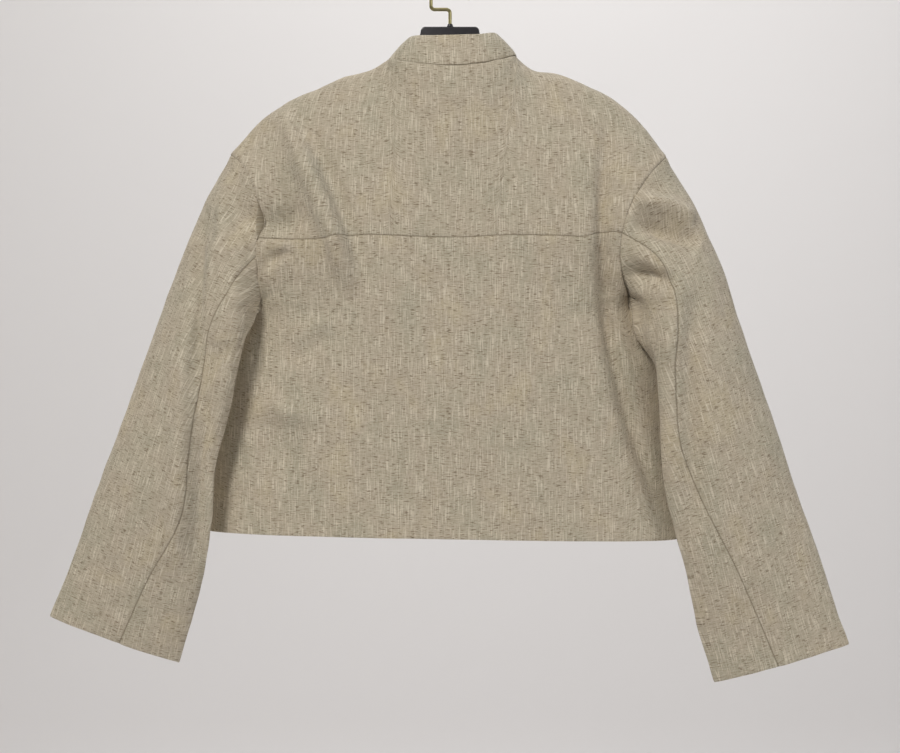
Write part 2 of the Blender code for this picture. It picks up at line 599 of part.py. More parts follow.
def add_cloth(collection, parent):
    """Every cut piece of the jacket as a wall of its own."""
    panels = {
        "back_yoke": (build_yoke(), False),
        "lower_back": (build_lower_back(), False),
        "front_left": (build_front("left"), True),
        "front_right": (build_front("right"), False),
        "collar": (build_collar(), False),
    }
    for side in ("left", "right"):
        for part in ("top", "under"):
            panels[f"{part}_sleeve_{side}"] = (build_sleeve(side, part), side == "right")
    offsets = wall_offsets(panels)
    for name, (grid, _) in panels.items():
        cloth = make_material("cloth_" + name, (0.43, 0.37, 0.28), 0.9)
        add_object(name, wall_mesh(name, grid, offsets[name]), cloth, collection, parent)
    return panels["front_right"][0]


def add_buttons(front, collection, parent):
    """Plain round buttons down the centre of the upper front."""
    horn = make_material("horn", (0.30, 0.22, 0.13), 0.35)
    column_y = front[:, -2, 1]
    column_z = front[:, -2, 2]
    for i, z in enumerate(np.linspace(BUTTON_TOP_Z, BUTTON_BOTTOM_Z, BUTTONS)):
        near = np.linspace(z - BUTTON_RADIUS, z + BUTTON_RADIUS, 9)
        seat = float(np.interp(near, column_z[::-1], column_y[::-1]).max())
        mesh = bpy.data.meshes.new("button")
        bm = bmesh.new()
        turn = Matrix.Rotation(math.radians(-90.0), 4, "X")
        bmesh.ops.create_cone(bm, cap_ends=True, segments=24, radius1=BUTTON_RADIUS * MM,
                              radius2=BUTTON_RADIUS * 0.94 * MM, depth=BUTTON_THICKNESS * MM, matrix=turn)
        bm.to_mesh(mesh)
        bm.free()
        mesh.shade_smooth()
        mesh.set_sharp_from_angle(angle=math.radians(40.0))
        place = Vector((NECK_CENTRE_X, seat + SEAM_GAP + BUTTON_THICKNESS / 2, z)) * MM
        add_object(f"button_{i + 1}", mesh, horn, collection, parent, place)


# ------------------------------------------------------------------ hanger
def hanger_outline():
    """Outline of the flat hanger: neck plate, then two arms that follow the shoulders."""
    arm = np.linspace(HANGER_JOIN_X, HANGER_TIP_X, 8)
    right_top = np.stack([arm, smooth(SHOULDER_RIGHT["x"], SHOULDER_RIGHT["z"], arm) - HANGER_DROP], axis=1)
    left_top = np.stack([-arm, smooth(SHOULDER_LEFT["x"], SHOULDER_LEFT["z"], -arm) - HANGER_DROP], axis=1)
    w, top, corner = HANGER_NECK_HALF_WIDTH, HANGER_NECK_TOP_Z, HANGER_NECK_CORNER
    foot_w, foot_z = HANGER_NECK_FOOT_HALF_WIDTH, HANGER_NECK_FOOT_Z
    turn = np.radians(np.linspace(0.0, 90.0, 5))
    corner_right = np.stack([w - corner + corner * np.cos(turn), top - corner + corner * np.sin(turn)], axis=1)
    corner_left = corner_right[::-1] * (-1, 1)
    deep = np.linspace(HANGER_DEPTH, HANGER_TIP_DEPTH, len(arm))
    right_low = right_top[::-1] - np.stack([0 * arm, deep[::-1]], axis=1)
    left_low = left_top - np.stack([0 * arm, deep], axis=1)
    tip_right = right_top[-1] + (HANGER_TIP_DEPTH * 0.45, -HANGER_TIP_DEPTH / 2)
    tip_left = left_top[-1] + (-HANGER_TIP_DEPTH * 0.45, -HANGER_TIP_DEPTH / 2)
    middle_low = np.array([(0.0, right_low[-1, 1] + 6.0)])
    return np.concatenate([
        [(foot_w, foot_z)], corner_right, corner_left, [(-foot_w, foot_z)],
        left_top, [tip_left], left_low[::-1], middle_low, right_low[::-1], [tip_right], right_top[::-1]])


def add_hanger(collection, parent):
    """Moulded hanger: a flat outline with softened edges."""
    edge = 1.4
    curve = bpy.data.curves.new("hanger_body", "CURVE")
    curve.dimensions = "2D"
    curve.fill_mode = "BOTH"
    curve.extrude = (HANGER_THICKNESS / 2 - edge) * MM
    curve.bevel_depth = edge * MM
    curve.bevel_resolution = 1
    curve.offset = -edge * MM
    outline = hanger_outline()
    spline = curve.splines.new("POLY")
    spline.points.add(len(outline) - 1)
    for point, (x, z) in zip(spline.points, outline * MM):
        point.co = (x, z, 0.0, 1.0)
    spline.use_cyclic_u = True
    source = bpy.data.objects.new("hanger_outline", curve)
    source.rotation_euler = (math.radians(90.0), 0.0, 0.0)
    collection.objects.link(source)
    bpy.context.view_layer.update()
    mesh = bpy.data.meshes.new_from_object(source.evaluated_get(bpy.context.evaluated_depsgraph_get()))
    bm = bmesh.new()
    bm.from_mesh(mesh)
    bmesh.ops.remove_doubles(bm, verts=bm.verts[:], dist=0.01 * MM)
    bmesh.ops.recalc_face_normals(bm, faces=bm.faces[:])
    bm.to_mesh(mesh)
    bm.free()
    body = add_object("hanger_body", mesh, make_material("black_plastic", (0.02, 0.02, 0.022), 0.3),
                      collection, parent)
    body.matrix_world = source.matrix_world.copy()
    bpy.data.objects.remove(source)
    return body


def hook_path():
    """Centre line of the wire: up from the hanger, a jog to the left, up again and round the rail."""
    centre_z = -HOOK_RADIUS + WIRE_RADIUS
    foot = HANGER_NECK_TOP_Z + BOSS_HEIGHT + 2 * SEAM_GAP
    quarter = np.radians(np.linspace(0.0, 90.0, 5))
    first = np.stack([HOOK_BEND * (np.cos(quarter) - 1), HOOK_JOG_Z - HOOK_BEND * (1 - np.sin(quarter))], axis=1)
    second = np.stack([-HOOK_RADIUS + HOOK_BEND * (1 - np.sin(quarter)),
                       HOOK_JOG_Z + HOOK_BEND * (1 - np.cos(quarter))], axis=1)
    arc = np.radians(np.linspace(180.0, -HOOK_END_ANGLE, 22))
    round_rail = np.stack([HOOK_RADIUS * np.cos(arc), centre_z + HOOK_RADIUS * np.sin(arc)], axis=1)
    return np.concatenate([[(0.0, foot)], first, second, round_rail])


def add_hook(collection, parent):
    """Brass wire hook and the little boss that it stands in."""
    brass = make_material("brass", (0.72, 0.58, 0.32), 0.3, 1.0)
    curve = bpy.data.curves.new("hook_wire", "CURVE")
    curve.dimensions = "3D"
    curve.bevel_depth = WIRE_RADIUS * MM
    curve.bevel_resolution = 2
    curve.use_fill_caps = True
    path = hook_path()
    spline = curve.splines.new("POLY")
    spline.points.add(len(path) - 1)
    for point, (x, z) in zip(spline.points, path * MM):
        point.co = (x, 0.0, z, 1.0)
    add_object("hook_wire", curve, brass, collection, parent)

    mesh = bpy.data.meshes.new("hook_boss")
    bm = bmesh.new()
    bmesh.ops.create_cone(bm, cap_ends=True, segments=20, radius1=BOSS_RADIUS * MM,
                          radius2=BOSS_RADIUS * 0.8 * MM, depth=BOSS_HEIGHT * MM)
    bm.to_mesh(mesh)
    bm.free()
    place = (0.0, 0.0, (HANGER_NECK_TOP_Z + SEAM_GAP + BOSS_HEIGHT / 2) * MM)
    add_object("hook_boss", mesh, make_material("boss_plastic", (0.02, 0.02, 0.022), 0.35),
               collection, parent, place)


# ------------------------------------------------------------------ assembly
def main():
    for obj in list(bpy.data.objects):
        bpy.data.objects.remove(obj)
    collection = bpy.data.collections.new("stand_collar_jacket")
    bpy.context.scene.collection.children.link(collection)
    root = bpy.data.objects.new("jacket_on_hanger", None)
    collection.objects.link(root)
    front = add_cloth(collection, root)
    add_buttons(front, collection, root)
    add_hanger(collection, root)
    add_hook(collection, root)


main()
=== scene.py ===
# %% [markdown]
# # A stand collar jacket on a clothes hanger
#
# The real thing is a short, boxy jacket of slubby oatmeal linen, hung by its shoulders on a black plastic
# hanger with a brass wire hook. Its back faces -Y and its front +Y.
#
# A hung jacket could be draped by a cloth simulation, but a simulation rarely gives the same folds twice.
# Here every cut piece is a surface worked out from tables of real sizes, and its folds are soft troughs and
# ridges pressed into that surface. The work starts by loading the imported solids, which give every place.

import math

import bpy
import numpy as np
from mathutils import Matrix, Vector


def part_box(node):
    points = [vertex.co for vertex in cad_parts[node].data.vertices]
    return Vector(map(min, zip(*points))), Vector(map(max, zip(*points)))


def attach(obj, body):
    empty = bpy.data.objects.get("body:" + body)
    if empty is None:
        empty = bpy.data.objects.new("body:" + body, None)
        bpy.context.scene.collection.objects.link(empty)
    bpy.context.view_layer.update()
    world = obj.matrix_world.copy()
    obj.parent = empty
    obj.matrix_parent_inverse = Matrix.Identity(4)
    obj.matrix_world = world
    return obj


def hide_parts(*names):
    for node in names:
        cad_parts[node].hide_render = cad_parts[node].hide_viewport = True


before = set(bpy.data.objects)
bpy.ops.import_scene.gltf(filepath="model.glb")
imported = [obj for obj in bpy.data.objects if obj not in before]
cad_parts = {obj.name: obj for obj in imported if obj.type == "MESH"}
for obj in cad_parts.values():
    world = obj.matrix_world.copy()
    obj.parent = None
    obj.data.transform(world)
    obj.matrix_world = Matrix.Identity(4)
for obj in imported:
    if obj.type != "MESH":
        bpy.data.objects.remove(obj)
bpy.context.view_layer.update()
MM = 0.001
CELL = 3.6        # mm between neighbouring points of the cloth

# %% [markdown]
# ## Small helpers for curves
#
# A tailor's pattern is a handful of measured points joined by fair curves. Splines in Blender could do
# that, but a cubic that runs through a short table is easier to reuse for any size along the garment.

# %% Curves through tables
def smooth(stations, values, at):
    """Cubic through a table: on each interval the two ends and their slopes are mixed by the Hermite
    weights 2f^3-3f^2+1, f^3-2f^2+f, 3f^2-2f^3 and f^3-f^2."""
    s, v, at = (np.asarray(a, float) for a in (stations, values, at))
    if s[0] > s[-1]:
        s, v = s[::-1], v[::-1]
    slope = np.gradient(v, s)
    i = np.clip(np.searchsorted(s, at, side="right") - 1, 0, len(s) - 2)
    h = s[i + 1] - s[i]
    f = (at - s[i]) / h
    return ((2 * f**3 - 3 * f**2 + 1) * v[i] + (f**3 - 2 * f**2 + f) * h * slope[i]
            + (3 * f**2 - 2 * f**3) * v[i + 1] + (f**3 - f**2) * h * slope[i + 1])


def step(f):
    """0 before 0, 1 after 1, and f^2 (3 - 2f) between."""
    f = np.clip(f, 0.0, 1.0)
    return f * f * (3.0 - 2.0 * f)


def bell(far):
    """e^(-far^2): 1 at the middle and 0.37 at one half width."""
    return np.exp(-far**2)


def unit(vectors):
    """Vectors scaled to length 1 along their last axis."""
    return vectors / np.maximum(np.linalg.norm(vectors, axis=-1, keepdims=True), 1e-9)


def arc(start, end, count):
    """Even angles from one number of degrees to another, in radians."""
    return np.radians(np.linspace(start, end, count))


def circle(count):
    """Even turns once round, in radians."""
    return np.linspace(0.0, 2 * np.pi, count, endpoint=False)


def xyz(x, y, z):
    """Points from their coordinates, where a plain number or a short row is repeated as needed."""
    return np.stack(np.broadcast_arrays(x, y, z), axis=-1)


def summed(steps, axis=0):
    """Running sum of steps, from 0 at the first point."""
    run = np.cumsum(steps, axis=axis)
    return np.concatenate([np.zeros_like(np.take(run, [0], axis)), run], axis=axis)


def length_along(points, axis=0):
    """Length run from the first point to each of the others."""
    return summed(np.linalg.norm(np.diff(points, axis=axis), axis=-1), axis)


def lengths(points):
    """Share of a line's length at each of its points."""
    run = length_along(points)
    return run / run[-1]


def spread(length, power=1.0, first=True, last=True):
    """Stations from 0 to 1 over a length in mm: (i / n)^power, and near an end that is sewn or hemmed
    two more, 0.8 and 2.2 mm in, so that the groove of a seam has points to bend at."""
    n = max(3, round(length / CELL))
    t = (np.arange(n + 1) / n) ** power
    close = np.array([0.8, 2.2]) / length
    if first:
        t = np.concatenate([[0.0], close, t[t > 1.5 * close[1]]])
    if last:
        t = np.concatenate([t[t < 1 - 1.5 * close[1]], 1 - close[::-1], [1.0]])
    return t


# %% [markdown]
# ## The sizes
#
# All tables are in millimetres, as a dressmaker would note them: the shoulder, side and yoke seams, and
# the sleeves as flattened tubes with an outer and an inner edge. The jacket is 478 mm across its back and
# hangs from the point of the hook, which is the origin.

# %% Tables of seams and sleeves
WALL = 1.6                               # the cloth with its turnings
OVERLAP, LIFT = 15.0, 2.4                # how far the fronts lap, and how far the upper one stands off
HEM_Z = (-608.0, -611.5, -617.5)         # left, middle, right
# How far back and front stand off the middle plane; the roundness of that form, the side seam's y, and
# over which heights the body's edge turns to it.
CHEST_BACK, CHEST_FRONT, HEM_BACK, HEM_FRONT = 50.0, 47.0, 43.0, 40.0
SIDE_ROUNDING, SIDE_SEAM_Y, EDGE_TURN, SIDE_TURN = 2.1, 20.0, 95.0, 45.0
# The roll over the hanger, how wide the neck's form spreads below it, and how far a seam pulls.
SHOULDER_ROLL, SHOULDER_ROLL_REACH, SHOULDER_POWER, SHOULDER_TENT = 0.2, 0.035, 1.8, 190.0
NECK_SMEAR, SEAM_REACH, SEAM_NEAR, SEAM_SMEAR = 0.16, 24.0, 7.0, 0.07
LAP_BEGINS, LAP_RISES = 46.0, 26.0       # from the centre, where the upper front starts to rise
# Neck seam and upper edge of the collar: middle, half width, depth to the back and front, heights.
NECK_X, NECK_HALF, NECK_BACK, NECK_FRONT = 1.9, 70.2, 42.0, 44.0
NECK_Z = {"back": -107.2, "front": -152.0, "left": -92.5, "right": -89.3}
COLLAR_X, COLLAR_Y, COLLAR_HALF, COLLAR_BACK, COLLAR_FRONT = 3.8, -2.0, 47.4, 28.0, 34.0
COLLAR_Z = {"back": -72.7, "front": -118.0, "left": -67.5, "right": -64.3}
# Seams by side, as x and z of the shoulder and z and x of the side seam.
SHOULDER = {
    "left": ((-68.3, -82.0, -118.0, -142.1, -179.2, -204.4, -225.1, -238.8),
             (-92.5, -101.3, -112.2, -123.1, -140.1, -158.1, -180.0, -196.9)),
    "right": ((72.1, 83.1, 121.3, 151.9, 173.1, 191.2, 213.1, 235.4),
              (-89.3, -99.1, -108.9, -122.0, -132.4, -146.1, -168.5, -199.2)),
}
SIDE = {
    "left": ((-352.4, -366.0, -385.0, -408.0, -436.0, -466.0, -509.0, -552.0, -608.0),
             (-210.2, -210.5, -219.0, -234.0, -246.0, -252.7, -259.3, -263.7, -268.0)),
    "right": ((-350.3, -362.0, -377.0, -405.0, -432.0, -466.0, -509.0, -552.0, -617.5),
              (195.7, 197.0, 205.0, 219.0, 230.0, 235.0, 239.0, 245.0, 251.5)),
}
YOKE_SEAM = ((-202.0, -172.7, -144.2, -99.9, -39.1, 2.1, 65.5, 122.0, 145.0, 158.0, 165.0, 182.0),
             (-290.6, -291.7, -292.3, -288.3, -289.8, -290.9, -288.4, -289.0, -289.4, -284.8, -284.3,
              -284.5))
SLEEVE_COLUMNS = ("along", "outer_x", "outer_y", "outer_z", "inner_x", "inner_y", "inner_z",
                  "back", "front", "bow", "seam")
SLEEVE = {
    "left": np.array((
        (0.000, -238.8, 0, -196.9, -210.2, 9, -352.4, 42, 42, 20.7, 0.700),
        (0.089, -262.9, 0, -239, -215, -12, -361, 41, 34, 12, 0.727),
        (0.201, -287.4, 0, -294.7, -215.5, -36, -381, 36, 27, 6, 0.656),
        (0.351, -314.3, -4, -371.4, -222.5, -43, -412, 32, 25, 2, 0.607),
        (0.489, -339.5, -8, -442.2, -235, -41, -478, 31, 24, 0, 0.657),
        (0.595, -359.1, -8, -496.6, -249.5, -38, -534, 28, 22, 0, 0.755),
        (0.702, -379.2, -6, -551.1, -254, -32, -592, 25, 20, 0, 0.768),
        (0.850, -408.7, 0, -625.8, -272, -13, -674, 20, 18, 0, 0.620),
        (1.000, -439.1, 8, -701.5, -295.5, 6, -752.5, 12, 11, 0, 0.545))),
    "right": np.array((
        (0.000, 235.4, 0, -199.2, 195.7, 9, -350.3, 42, 42, 30.5, 0.564),
        (0.110, 267.7, 0, -253.7, 205, -14, -356, 43, 35, 14, 0.560),
        (0.214, 291.8, 0, -307.8, 210, -22, -370, 41, 31, 6, 0.620),
        (0.339, 315.1, 0, -375.5, 210, -26, -400, 38, 29, 2, 0.700),
        (0.423, 330.4, 0, -421.4, 225, -27, -430, 36, 28, 0, 0.860),
        (0.502, 345.4, 2, -464.2, 226.5, -27, -498, 33, 27, 0, 0.870),
        (0.643, 371.3, 5, -541.1, 234.5, -22, -572, 28, 24, 0, 0.770),
        (0.786, 398.7, 9, -618.3, 257, -10, -655, 23, 20, 0, 0.650),
        (0.900, 419.5, 12, -678, 272, 3, -715, 18, 17, 0, 0.580),
        (1.000, 441.6, 15, -733.2, 290.8, 13, -775.4, 12, 11, 0, 0.543))),
}
# How each sleeve's ring bows to the body: power of the sine, and how much more at the outer edge.
BOW_SHAPE = {"left": (1.5, 0.84), "right": (1.8, 0.0)}
FRONT_BOW, FRONT_SEAM_ANGLE, FRONT_EDGE_ANGLE, SIDE_HOLD = 0.7, -145.0, -68.4, 2.5
# Long folds of the back: top, middle and bottom in x and z, half width, depth.
BACK_FOLDS = ((178.8, -125.0, 161.0, -280.0, 237.6, -600.0, 8.5, 11.5),
              (-172.0, -172.0, -142.0, -241.0, -96.0, -350.0, 14.0, -6.5),
              (-182.0, -190.0, -172.0, -240.0, -158.0, -300.0, 14.0, 4.5))
# Dents: place along, turn, reach along and round, depth.
DENTS = {"left": ((0.36, 96.0, 0.24, 15.0, 5.0), (0.07, 60.0, 0.05, 20.0, 4.0)),
         "right": ((0.11, 138.0, 0.05, 20.0, 9.0), (0.10, 62.0, 0.05, 22.0, 5.0))}
spans = [table[-1, 1:4:2] - table[0, 1:4:2] for table in SLEEVE.values()]
print("sleeve lengths in mm", [round(float(np.hypot(*span))) for span in spans])

# %% [markdown]
# ## Sleeves
#
# A tailored sleeve is two pieces, a wide top sleeve and a narrow under sleeve, which meet in two long
# seams. It could be a bent cylinder, but a hung sleeve is flat: so each ring is an ellipse between an
# outer and an inner edge, with the depth of its back and front half from the table, and a few dents.
# The seams' places are turns round the ring: 0 at the outer edge, 180 at the inner one, back first.

# %% Sleeve rings
# Where the slack cloth under the arm swells towards the body: turn, place along, reach and millimetres.
UNDERARM_BULGE = {"left": (205.0, 0.14, 0.14, 8.0), "right": (232.0, 0.25, 0.22, 26.0)}
BULGE_TURN, ARMHOLE_HOLD = 30.0, 0.06    # its reach round the ring, and how soon dents may start
INWARD = {"left": 1.0, "right": -1.0}


def seam_angle(side, along):
    """Angle of the back seam round a ring: the arc cosine of 1 - 2 share, 0 at the outer edge."""
    table = SLEEVE[side]
    return np.degrees(np.arccos(1.0 - 2.0 * smooth(table[:, 0], table[:, -1], along)))


def section(side, along, angle):
    """Ring points: middle + half width x cosine across, depth x sine in y, less the dents' Gaussians,
    and the middle of the ring bowed towards the body by |sine|^power."""
    table = SLEEVE[side]
    value = {name: smooth(table[:, 0], table[:, k], along) for k, name in enumerate(SLEEVE_COLUMNS)}
    c, s = np.cos(np.radians(angle)), np.sin(np.radians(angle))
    depth = np.where(s > 0, value["back"], value["front"])
    power, lean = BOW_SHAPE[side]
    bow = value["bow"] * np.abs(s) ** power * (1.0 + lean * c) * np.where(s > 0, 1.0, FRONT_BOW)
    for at, turn, reach, reach_turn, dent in DENTS[side]:
        near = bell(np.hypot((along - at) / reach, (angle - turn) / reach_turn))
        depth = depth - dent * near * step(along / ARMHOLE_HOLD) * np.sign(s)
    x, y, z = (value["inner_" + k] * (1 - c) / 2 + value["outer_" + k] * (1 + c) / 2 for k in "xyz")
    return xyz(x + INWARD[side] * bow, y - depth * s, z)


def armhole_angles(side):
    """Turns at which sleeve and body are sewn together, stretch by stretch: yoke, back down to the
    sleeve's back seam, back below it, front, and underarm."""
    top, bottom = SLEEVE[side][0, 3], SLEEVE[side][0, 6]
    yoke_z = YOKE_SEAM[1][0 if side == "left" else -1]
    yoke = math.degrees(math.acos(1.0 - 2.0 * (top - yoke_z) / (top - bottom)))
    seam = float(seam_angle(side, 0.0))
    short, long = spread(14.0), spread(85.0)
    if seam - yoke > 2.0:
        back = [yoke + (seam - yoke) * short, seam + (180.0 - seam) * long]
    else:
        back = [yoke + (180.0 - yoke) * share for share in (short / 5, 0.2 + 0.8 * long)]
        seam = yoke
    return {"yoke": yoke * spread(190.0, 1.5, first=False), "short": back[0], "long": back[1], "seam": seam,
            "front": FRONT_SEAM_ANGLE * spread(190.0, 1.5, first=False),
            "under": FRONT_SEAM_ANGLE + (-180.0 - FRONT_SEAM_ANGLE) * spread(45.0)}


def build_sleeve(side, part):
    """Rings from armhole to cuff: the armhole's angles, stretched so that they keep to the two seams."""
    ring = armhole_angles(side)
    two_backs = ring["seam"] > ring["yoke"][-1] + 1.0
    if part == "top":
        start = [ring["front"][::-1][:-1], ring["yoke"], ring["short"][1:] if two_backs else []]
    else:
        start = [[] if two_backs else ring["short"][:-1], ring["long"], 360.0 + ring["under"][::-1][1:]]
    start = np.concatenate(start)[None, :]
    along = spread(540.0)[:, None]
    seam = seam_angle(side, along)
    seam[0] = ring["seam"]
    if part == "top":
        angle = np.where(start > 0, start * seam / ring["seam"], start + 0 * seam)
    else:
        end = 360.0 + FRONT_SEAM_ANGLE
        angle = end - (end - start) * (end - seam) / (end - ring["seam"])
    grid = section(side, np.broadcast_to(along, angle.shape), angle)
    turn, at, reach, most = UNDERARM_BULGE[side]
    swell = most * bell((angle % 360.0 - turn) / BULGE_TURN) * bell((along - at) / reach)
    grid[..., 0] += INWARD[side] * swell * step(along / ARMHOLE_HOLD)
    return grid


# %% [markdown]
# ## Body
#
# The body is a back yoke, a lower back and two fronts. Each is spread between its own edges as a Coons
# patch, which mixes opposite edges and takes off the corners, so neighbours share one line and no gap
# opens. How far the cloth stands from the middle plane comes from a rounded profile across the body and
# a steep fall from the shoulders, where the cloth rolls over the hanger.

# %% Edges of the body
def shoulder(side):
    """Shoulder seam from armhole to neck, straight across in x and curved in z."""
    x, z = SHOULDER[side]
    at = x[-1] + (x[0] - x[-1]) * spread(185.0)
    return xyz(at, 0.0, smooth(x, z, at))


def lift(x):
    """The upper front rises over the lower one near the centre."""
    return LIFT * step((LAP_BEGINS - x) / LAP_RISES)


def loop(turn, upper, centre, half, depths, heights):
    """Neckline or collar edge: x = half sine, y = -depth cosine, z between side and middle by cosine^2."""
    c, s = np.cos(np.radians(turn)), np.sin(np.radians(turn))
    side_z = np.where(s < 0, heights["left"], heights["right"])
    x = centre[0] + half * s
    y = centre[1] - np.where(c > 0, depths[0], depths[1]) * c + np.where((c < 0) & upper, lift(x), 0.0)
    return xyz(x, y, side_z + (np.where(c > 0, heights["back"], heights["front"]) - side_z) * c * c)


def neck(turn, upper):
    """Seam of neck and collar, by turn from the back centre."""
    return loop(turn, upper, (NECK_X, 0.0), NECK_HALF, (NECK_BACK, NECK_FRONT), NECK_Z)


BACK_TURNS = -90.0 + 180.0 * spread(210.0)


def front_turns():
    """Turns of the front neck, from the shoulder to just short of the centre, with columns where the
    edge of the other front will lie."""
    close = np.array([15.0, 14.2, 12.8, 9.6, 6.2, 2.6, 1.2, 0.4])
    near = 180.0 - np.degrees(np.arcsin(close / NECK_HALF))
    return np.concatenate([90.0 + (near[0] - 90.0) * spread(95.0, last=False), near[1:]]), len(close)


def hem_z(x):
    """Height of the hem, which hangs lower on the right."""
    return smooth((SIDE["left"][1][-1], 0.0, SIDE["right"][1][-1]), HEM_Z, x)


def side_seam(side):
    """Side seam from underarm to hem; its y turns to the seam's place within 45 mm."""
    z_table, x_table = SIDE[side]
    z = z_table[0] + (z_table[-1] - z_table[0]) * spread(270.0)
    start = SLEEVE[side][0, 5]
    y = start + (SIDE_SEAM_Y - start) * step((z[0] - z) / SIDE_TURN)
    return xyz(smooth(z_table, x_table, z), y, z)


def armhole(side, *stretches):
    """Points of the armhole over some of its stretches, each point once."""
    ring = armhole_angles(side)
    angle = np.concatenate([ring[stretches[0]]] + [ring[name][1:] for name in stretches[1:]])
    return section(side, np.zeros(len(angle)), angle)


# %% Surfaces of the body
def patch(left, right, top, bottom, u, v, hold=1.0):
    """Coons patch: straight lines from top to bottom, plus how far each side edge strays from its own
    straight line, which dies out across the piece: linearly in x, and by the power of hold in z."""
    u, v = u[None, :, None], v[:, None, None]
    stray_left = left[:, None] - ((1 - v) * left[0] + v * left[-1])
    stray_right = right[:, None] - ((1 - v) * right[0] + v * right[-1])
    power = np.array((1.0, 1.0, hold))
    return ((1 - v) * top[None] + v * bottom[None] + stray_left * (1 - u) ** power
            + stray_right * u ** power)


def shoulder_fall(v):
    """Share of the full depth: a quick roll 0.2 (1 - e^(-v/0.035)), then 0.8 (1 - (1 - v)^1.8)."""
    return (SHOULDER_ROLL * (1 - np.exp(-v / SHOULDER_ROLL_REACH))
            + (1 - SHOULDER_ROLL) * (1 - (1 - v) ** SHOULDER_POWER))


def rounded(u):
    """Profile from 1 in the middle to 0 at the sides: (1 - |u|^2.1)^(1 / 2.1)."""
    return (1 - np.abs(u) ** SIDE_ROUNDING) ** (1 / SIDE_ROUNDING)


def share_across(edge):
    """Share of an edge's width at each of its points."""
    return (edge[:, 0] - edge[0, 0]) / (edge[-1, 0] - edge[0, 0])


def smeared(values, u, width):
    """Values along u, each averaged with its neighbours over a Gaussian of this width."""
    weight = bell((u[:, None] - u[None, :]) / width) * np.gradient(u)[None, :]
    return weight @ values / weight.sum(axis=1)


def seam_pull(grid, wanted, edge):
    """Brings an edge to its seam's y: all of the way at the edge, dying out within SEAM_REACH. More than
    7 mm away the pull is smeared along the seam, so the turn at the underarm makes no crease."""
    columns = grid if edge == 0 else grid[:, ::-1]
    away = np.linalg.norm(columns[:, :, ::2] - columns[:, :1, ::2], axis=-1)
    need = wanted - columns[:, 0, 1]
    soft = smeared(need, lengths(columns[:, 0]), SEAM_SMEAR)
    near, wide = bell(away / SEAM_NEAR), np.exp(-(away / SEAM_REACH) ** 1.3)
    pull = need[:, None] * near * wide + soft[:, None] * (1.0 - near) * wide
    return pull if edge == 0 else pull[:, ::-1]


def sew(grid, left, right, top):
    """Pulls both sides of a back piece to their seams, and lays three of its edges on them."""
    grid[..., 1] += seam_pull(grid, left[:, 1], 0) + seam_pull(grid, right[:, 1], -1)
    grid[:, 0, 1], grid[:, -1, 1], grid[0, :, 1] = left[:, 1], right[:, 1], top[:, 1]


def fold_depth(x, z):
    """Depth of the back's three long folds: a quadratic path in z, a Gaussian across, faded ends."""
    total = np.zeros_like(x)
    for x0, z0, x1, z1, x2, z2, half_width, depth in BACK_FOLDS:
        path = np.polyval(np.polyfit([z0, z1, z2], [x0, x1, x2], 2), z)
        share = (z0 - z) / (z0 - z2)
        ends = step(share / 0.25) * step((1.0 - share) / 0.3)
        total = total + depth * ends * bell((x - path) / half_width)
    return total


def yoke_top():
    """Left shoulder, back neck and right shoulder in one line."""
    return np.concatenate([shoulder("left")[:-1], neck(BACK_TURNS, False), shoulder("right")[::-1][1:]])


def yoke_seam_row(u, left, right):
    """Seam of yoke and lower back: z from the table, y on a rounded profile between the armholes."""
    x = left[0] + (right[0] - left[0]) * u
    z = smooth(*YOKE_SEAM, x)
    z[0], z[-1] = left[2], right[2]
    y = (1 - u) * left[1] + u * right[1]
    return xyz(x, y + (-CHEST_BACK - y) * rounded(2 * u - 1), z)


def build_yoke():
    """Yoke: its depth falls from the shoulders, and the neck's shape spreads out on the way down."""
    left, right, top = armhole("left", "yoke"), armhole("right", "yoke"), yoke_top()
    u, v = share_across(top), lengths(left)
    bottom = yoke_seam_row(u, left[-1], right[-1])
    grid = patch(left, right, top, bottom, u, v)
    fall = shoulder_fall(v) / shoulder_fall(1.0)
    recess = top[:, 1] - bottom[:, 1]
    rest = np.stack([smeared(recess, u, NECK_SMEAR * max(share, 1e-3)) for share in v])
    rest[0], rest[-1] = recess, recess
    grid[..., 1] = bottom[None, :, 1] + rest * (1 - fall)[:, None]
    sew(grid, left, right, top)
    soft = np.clip(-grid[1:, 1:-1, 1] / CHEST_BACK - 0.15, 0.0, 0.85) / 0.85
    grid[1:, 1:-1, 1] += fold_depth(grid[1:, 1:-1, 0], grid[1:, 1:-1, 2]) * soft
    return grid


def edge_depth(z, yoke_y):
    """Course of the body's edge in y, from the yoke seam to the side seam."""
    return yoke_y + (SIDE_SEAM_Y - yoke_y) * step((z[0] - z) / EDGE_TURN)


def build_lower_back():
    """Lower back: armholes and side seams at its sides, a rounded profile across."""
    left, right = (np.concatenate([armhole(side, "short", "long")[:-1], side_seam(side)])
                   for side in ("left", "right"))
    u = share_across(yoke_top())
    top = yoke_seam_row(u, left[0], right[0])
    x = left[-1, 0] + (right[-1, 0] - left[-1, 0]) * u
    v = lengths((left + right) / 2)
    grid = patch(left, right, top, xyz(x, 0.0, hem_z(x)), u, v, SIDE_HOLD)
    depth = -CHEST_BACK + (CHEST_BACK - HEM_BACK) * step((v - 0.25) / 0.75)
    between = ((1 - u)[None] * edge_depth(left[:, 2], left[0, 1])[:, None]
               + u[None] * edge_depth(right[:, 2], right[0, 1])[:, None])
    grid[..., 1] = between + (depth[:, None] - between) * rounded(2 * u - 1)[None]
    sew(grid, left, right, top)
    grid[:, 1:-1, 1] += fold_depth(grid[:, 1:-1, 0], grid[:, 1:-1, 2])
    return grid


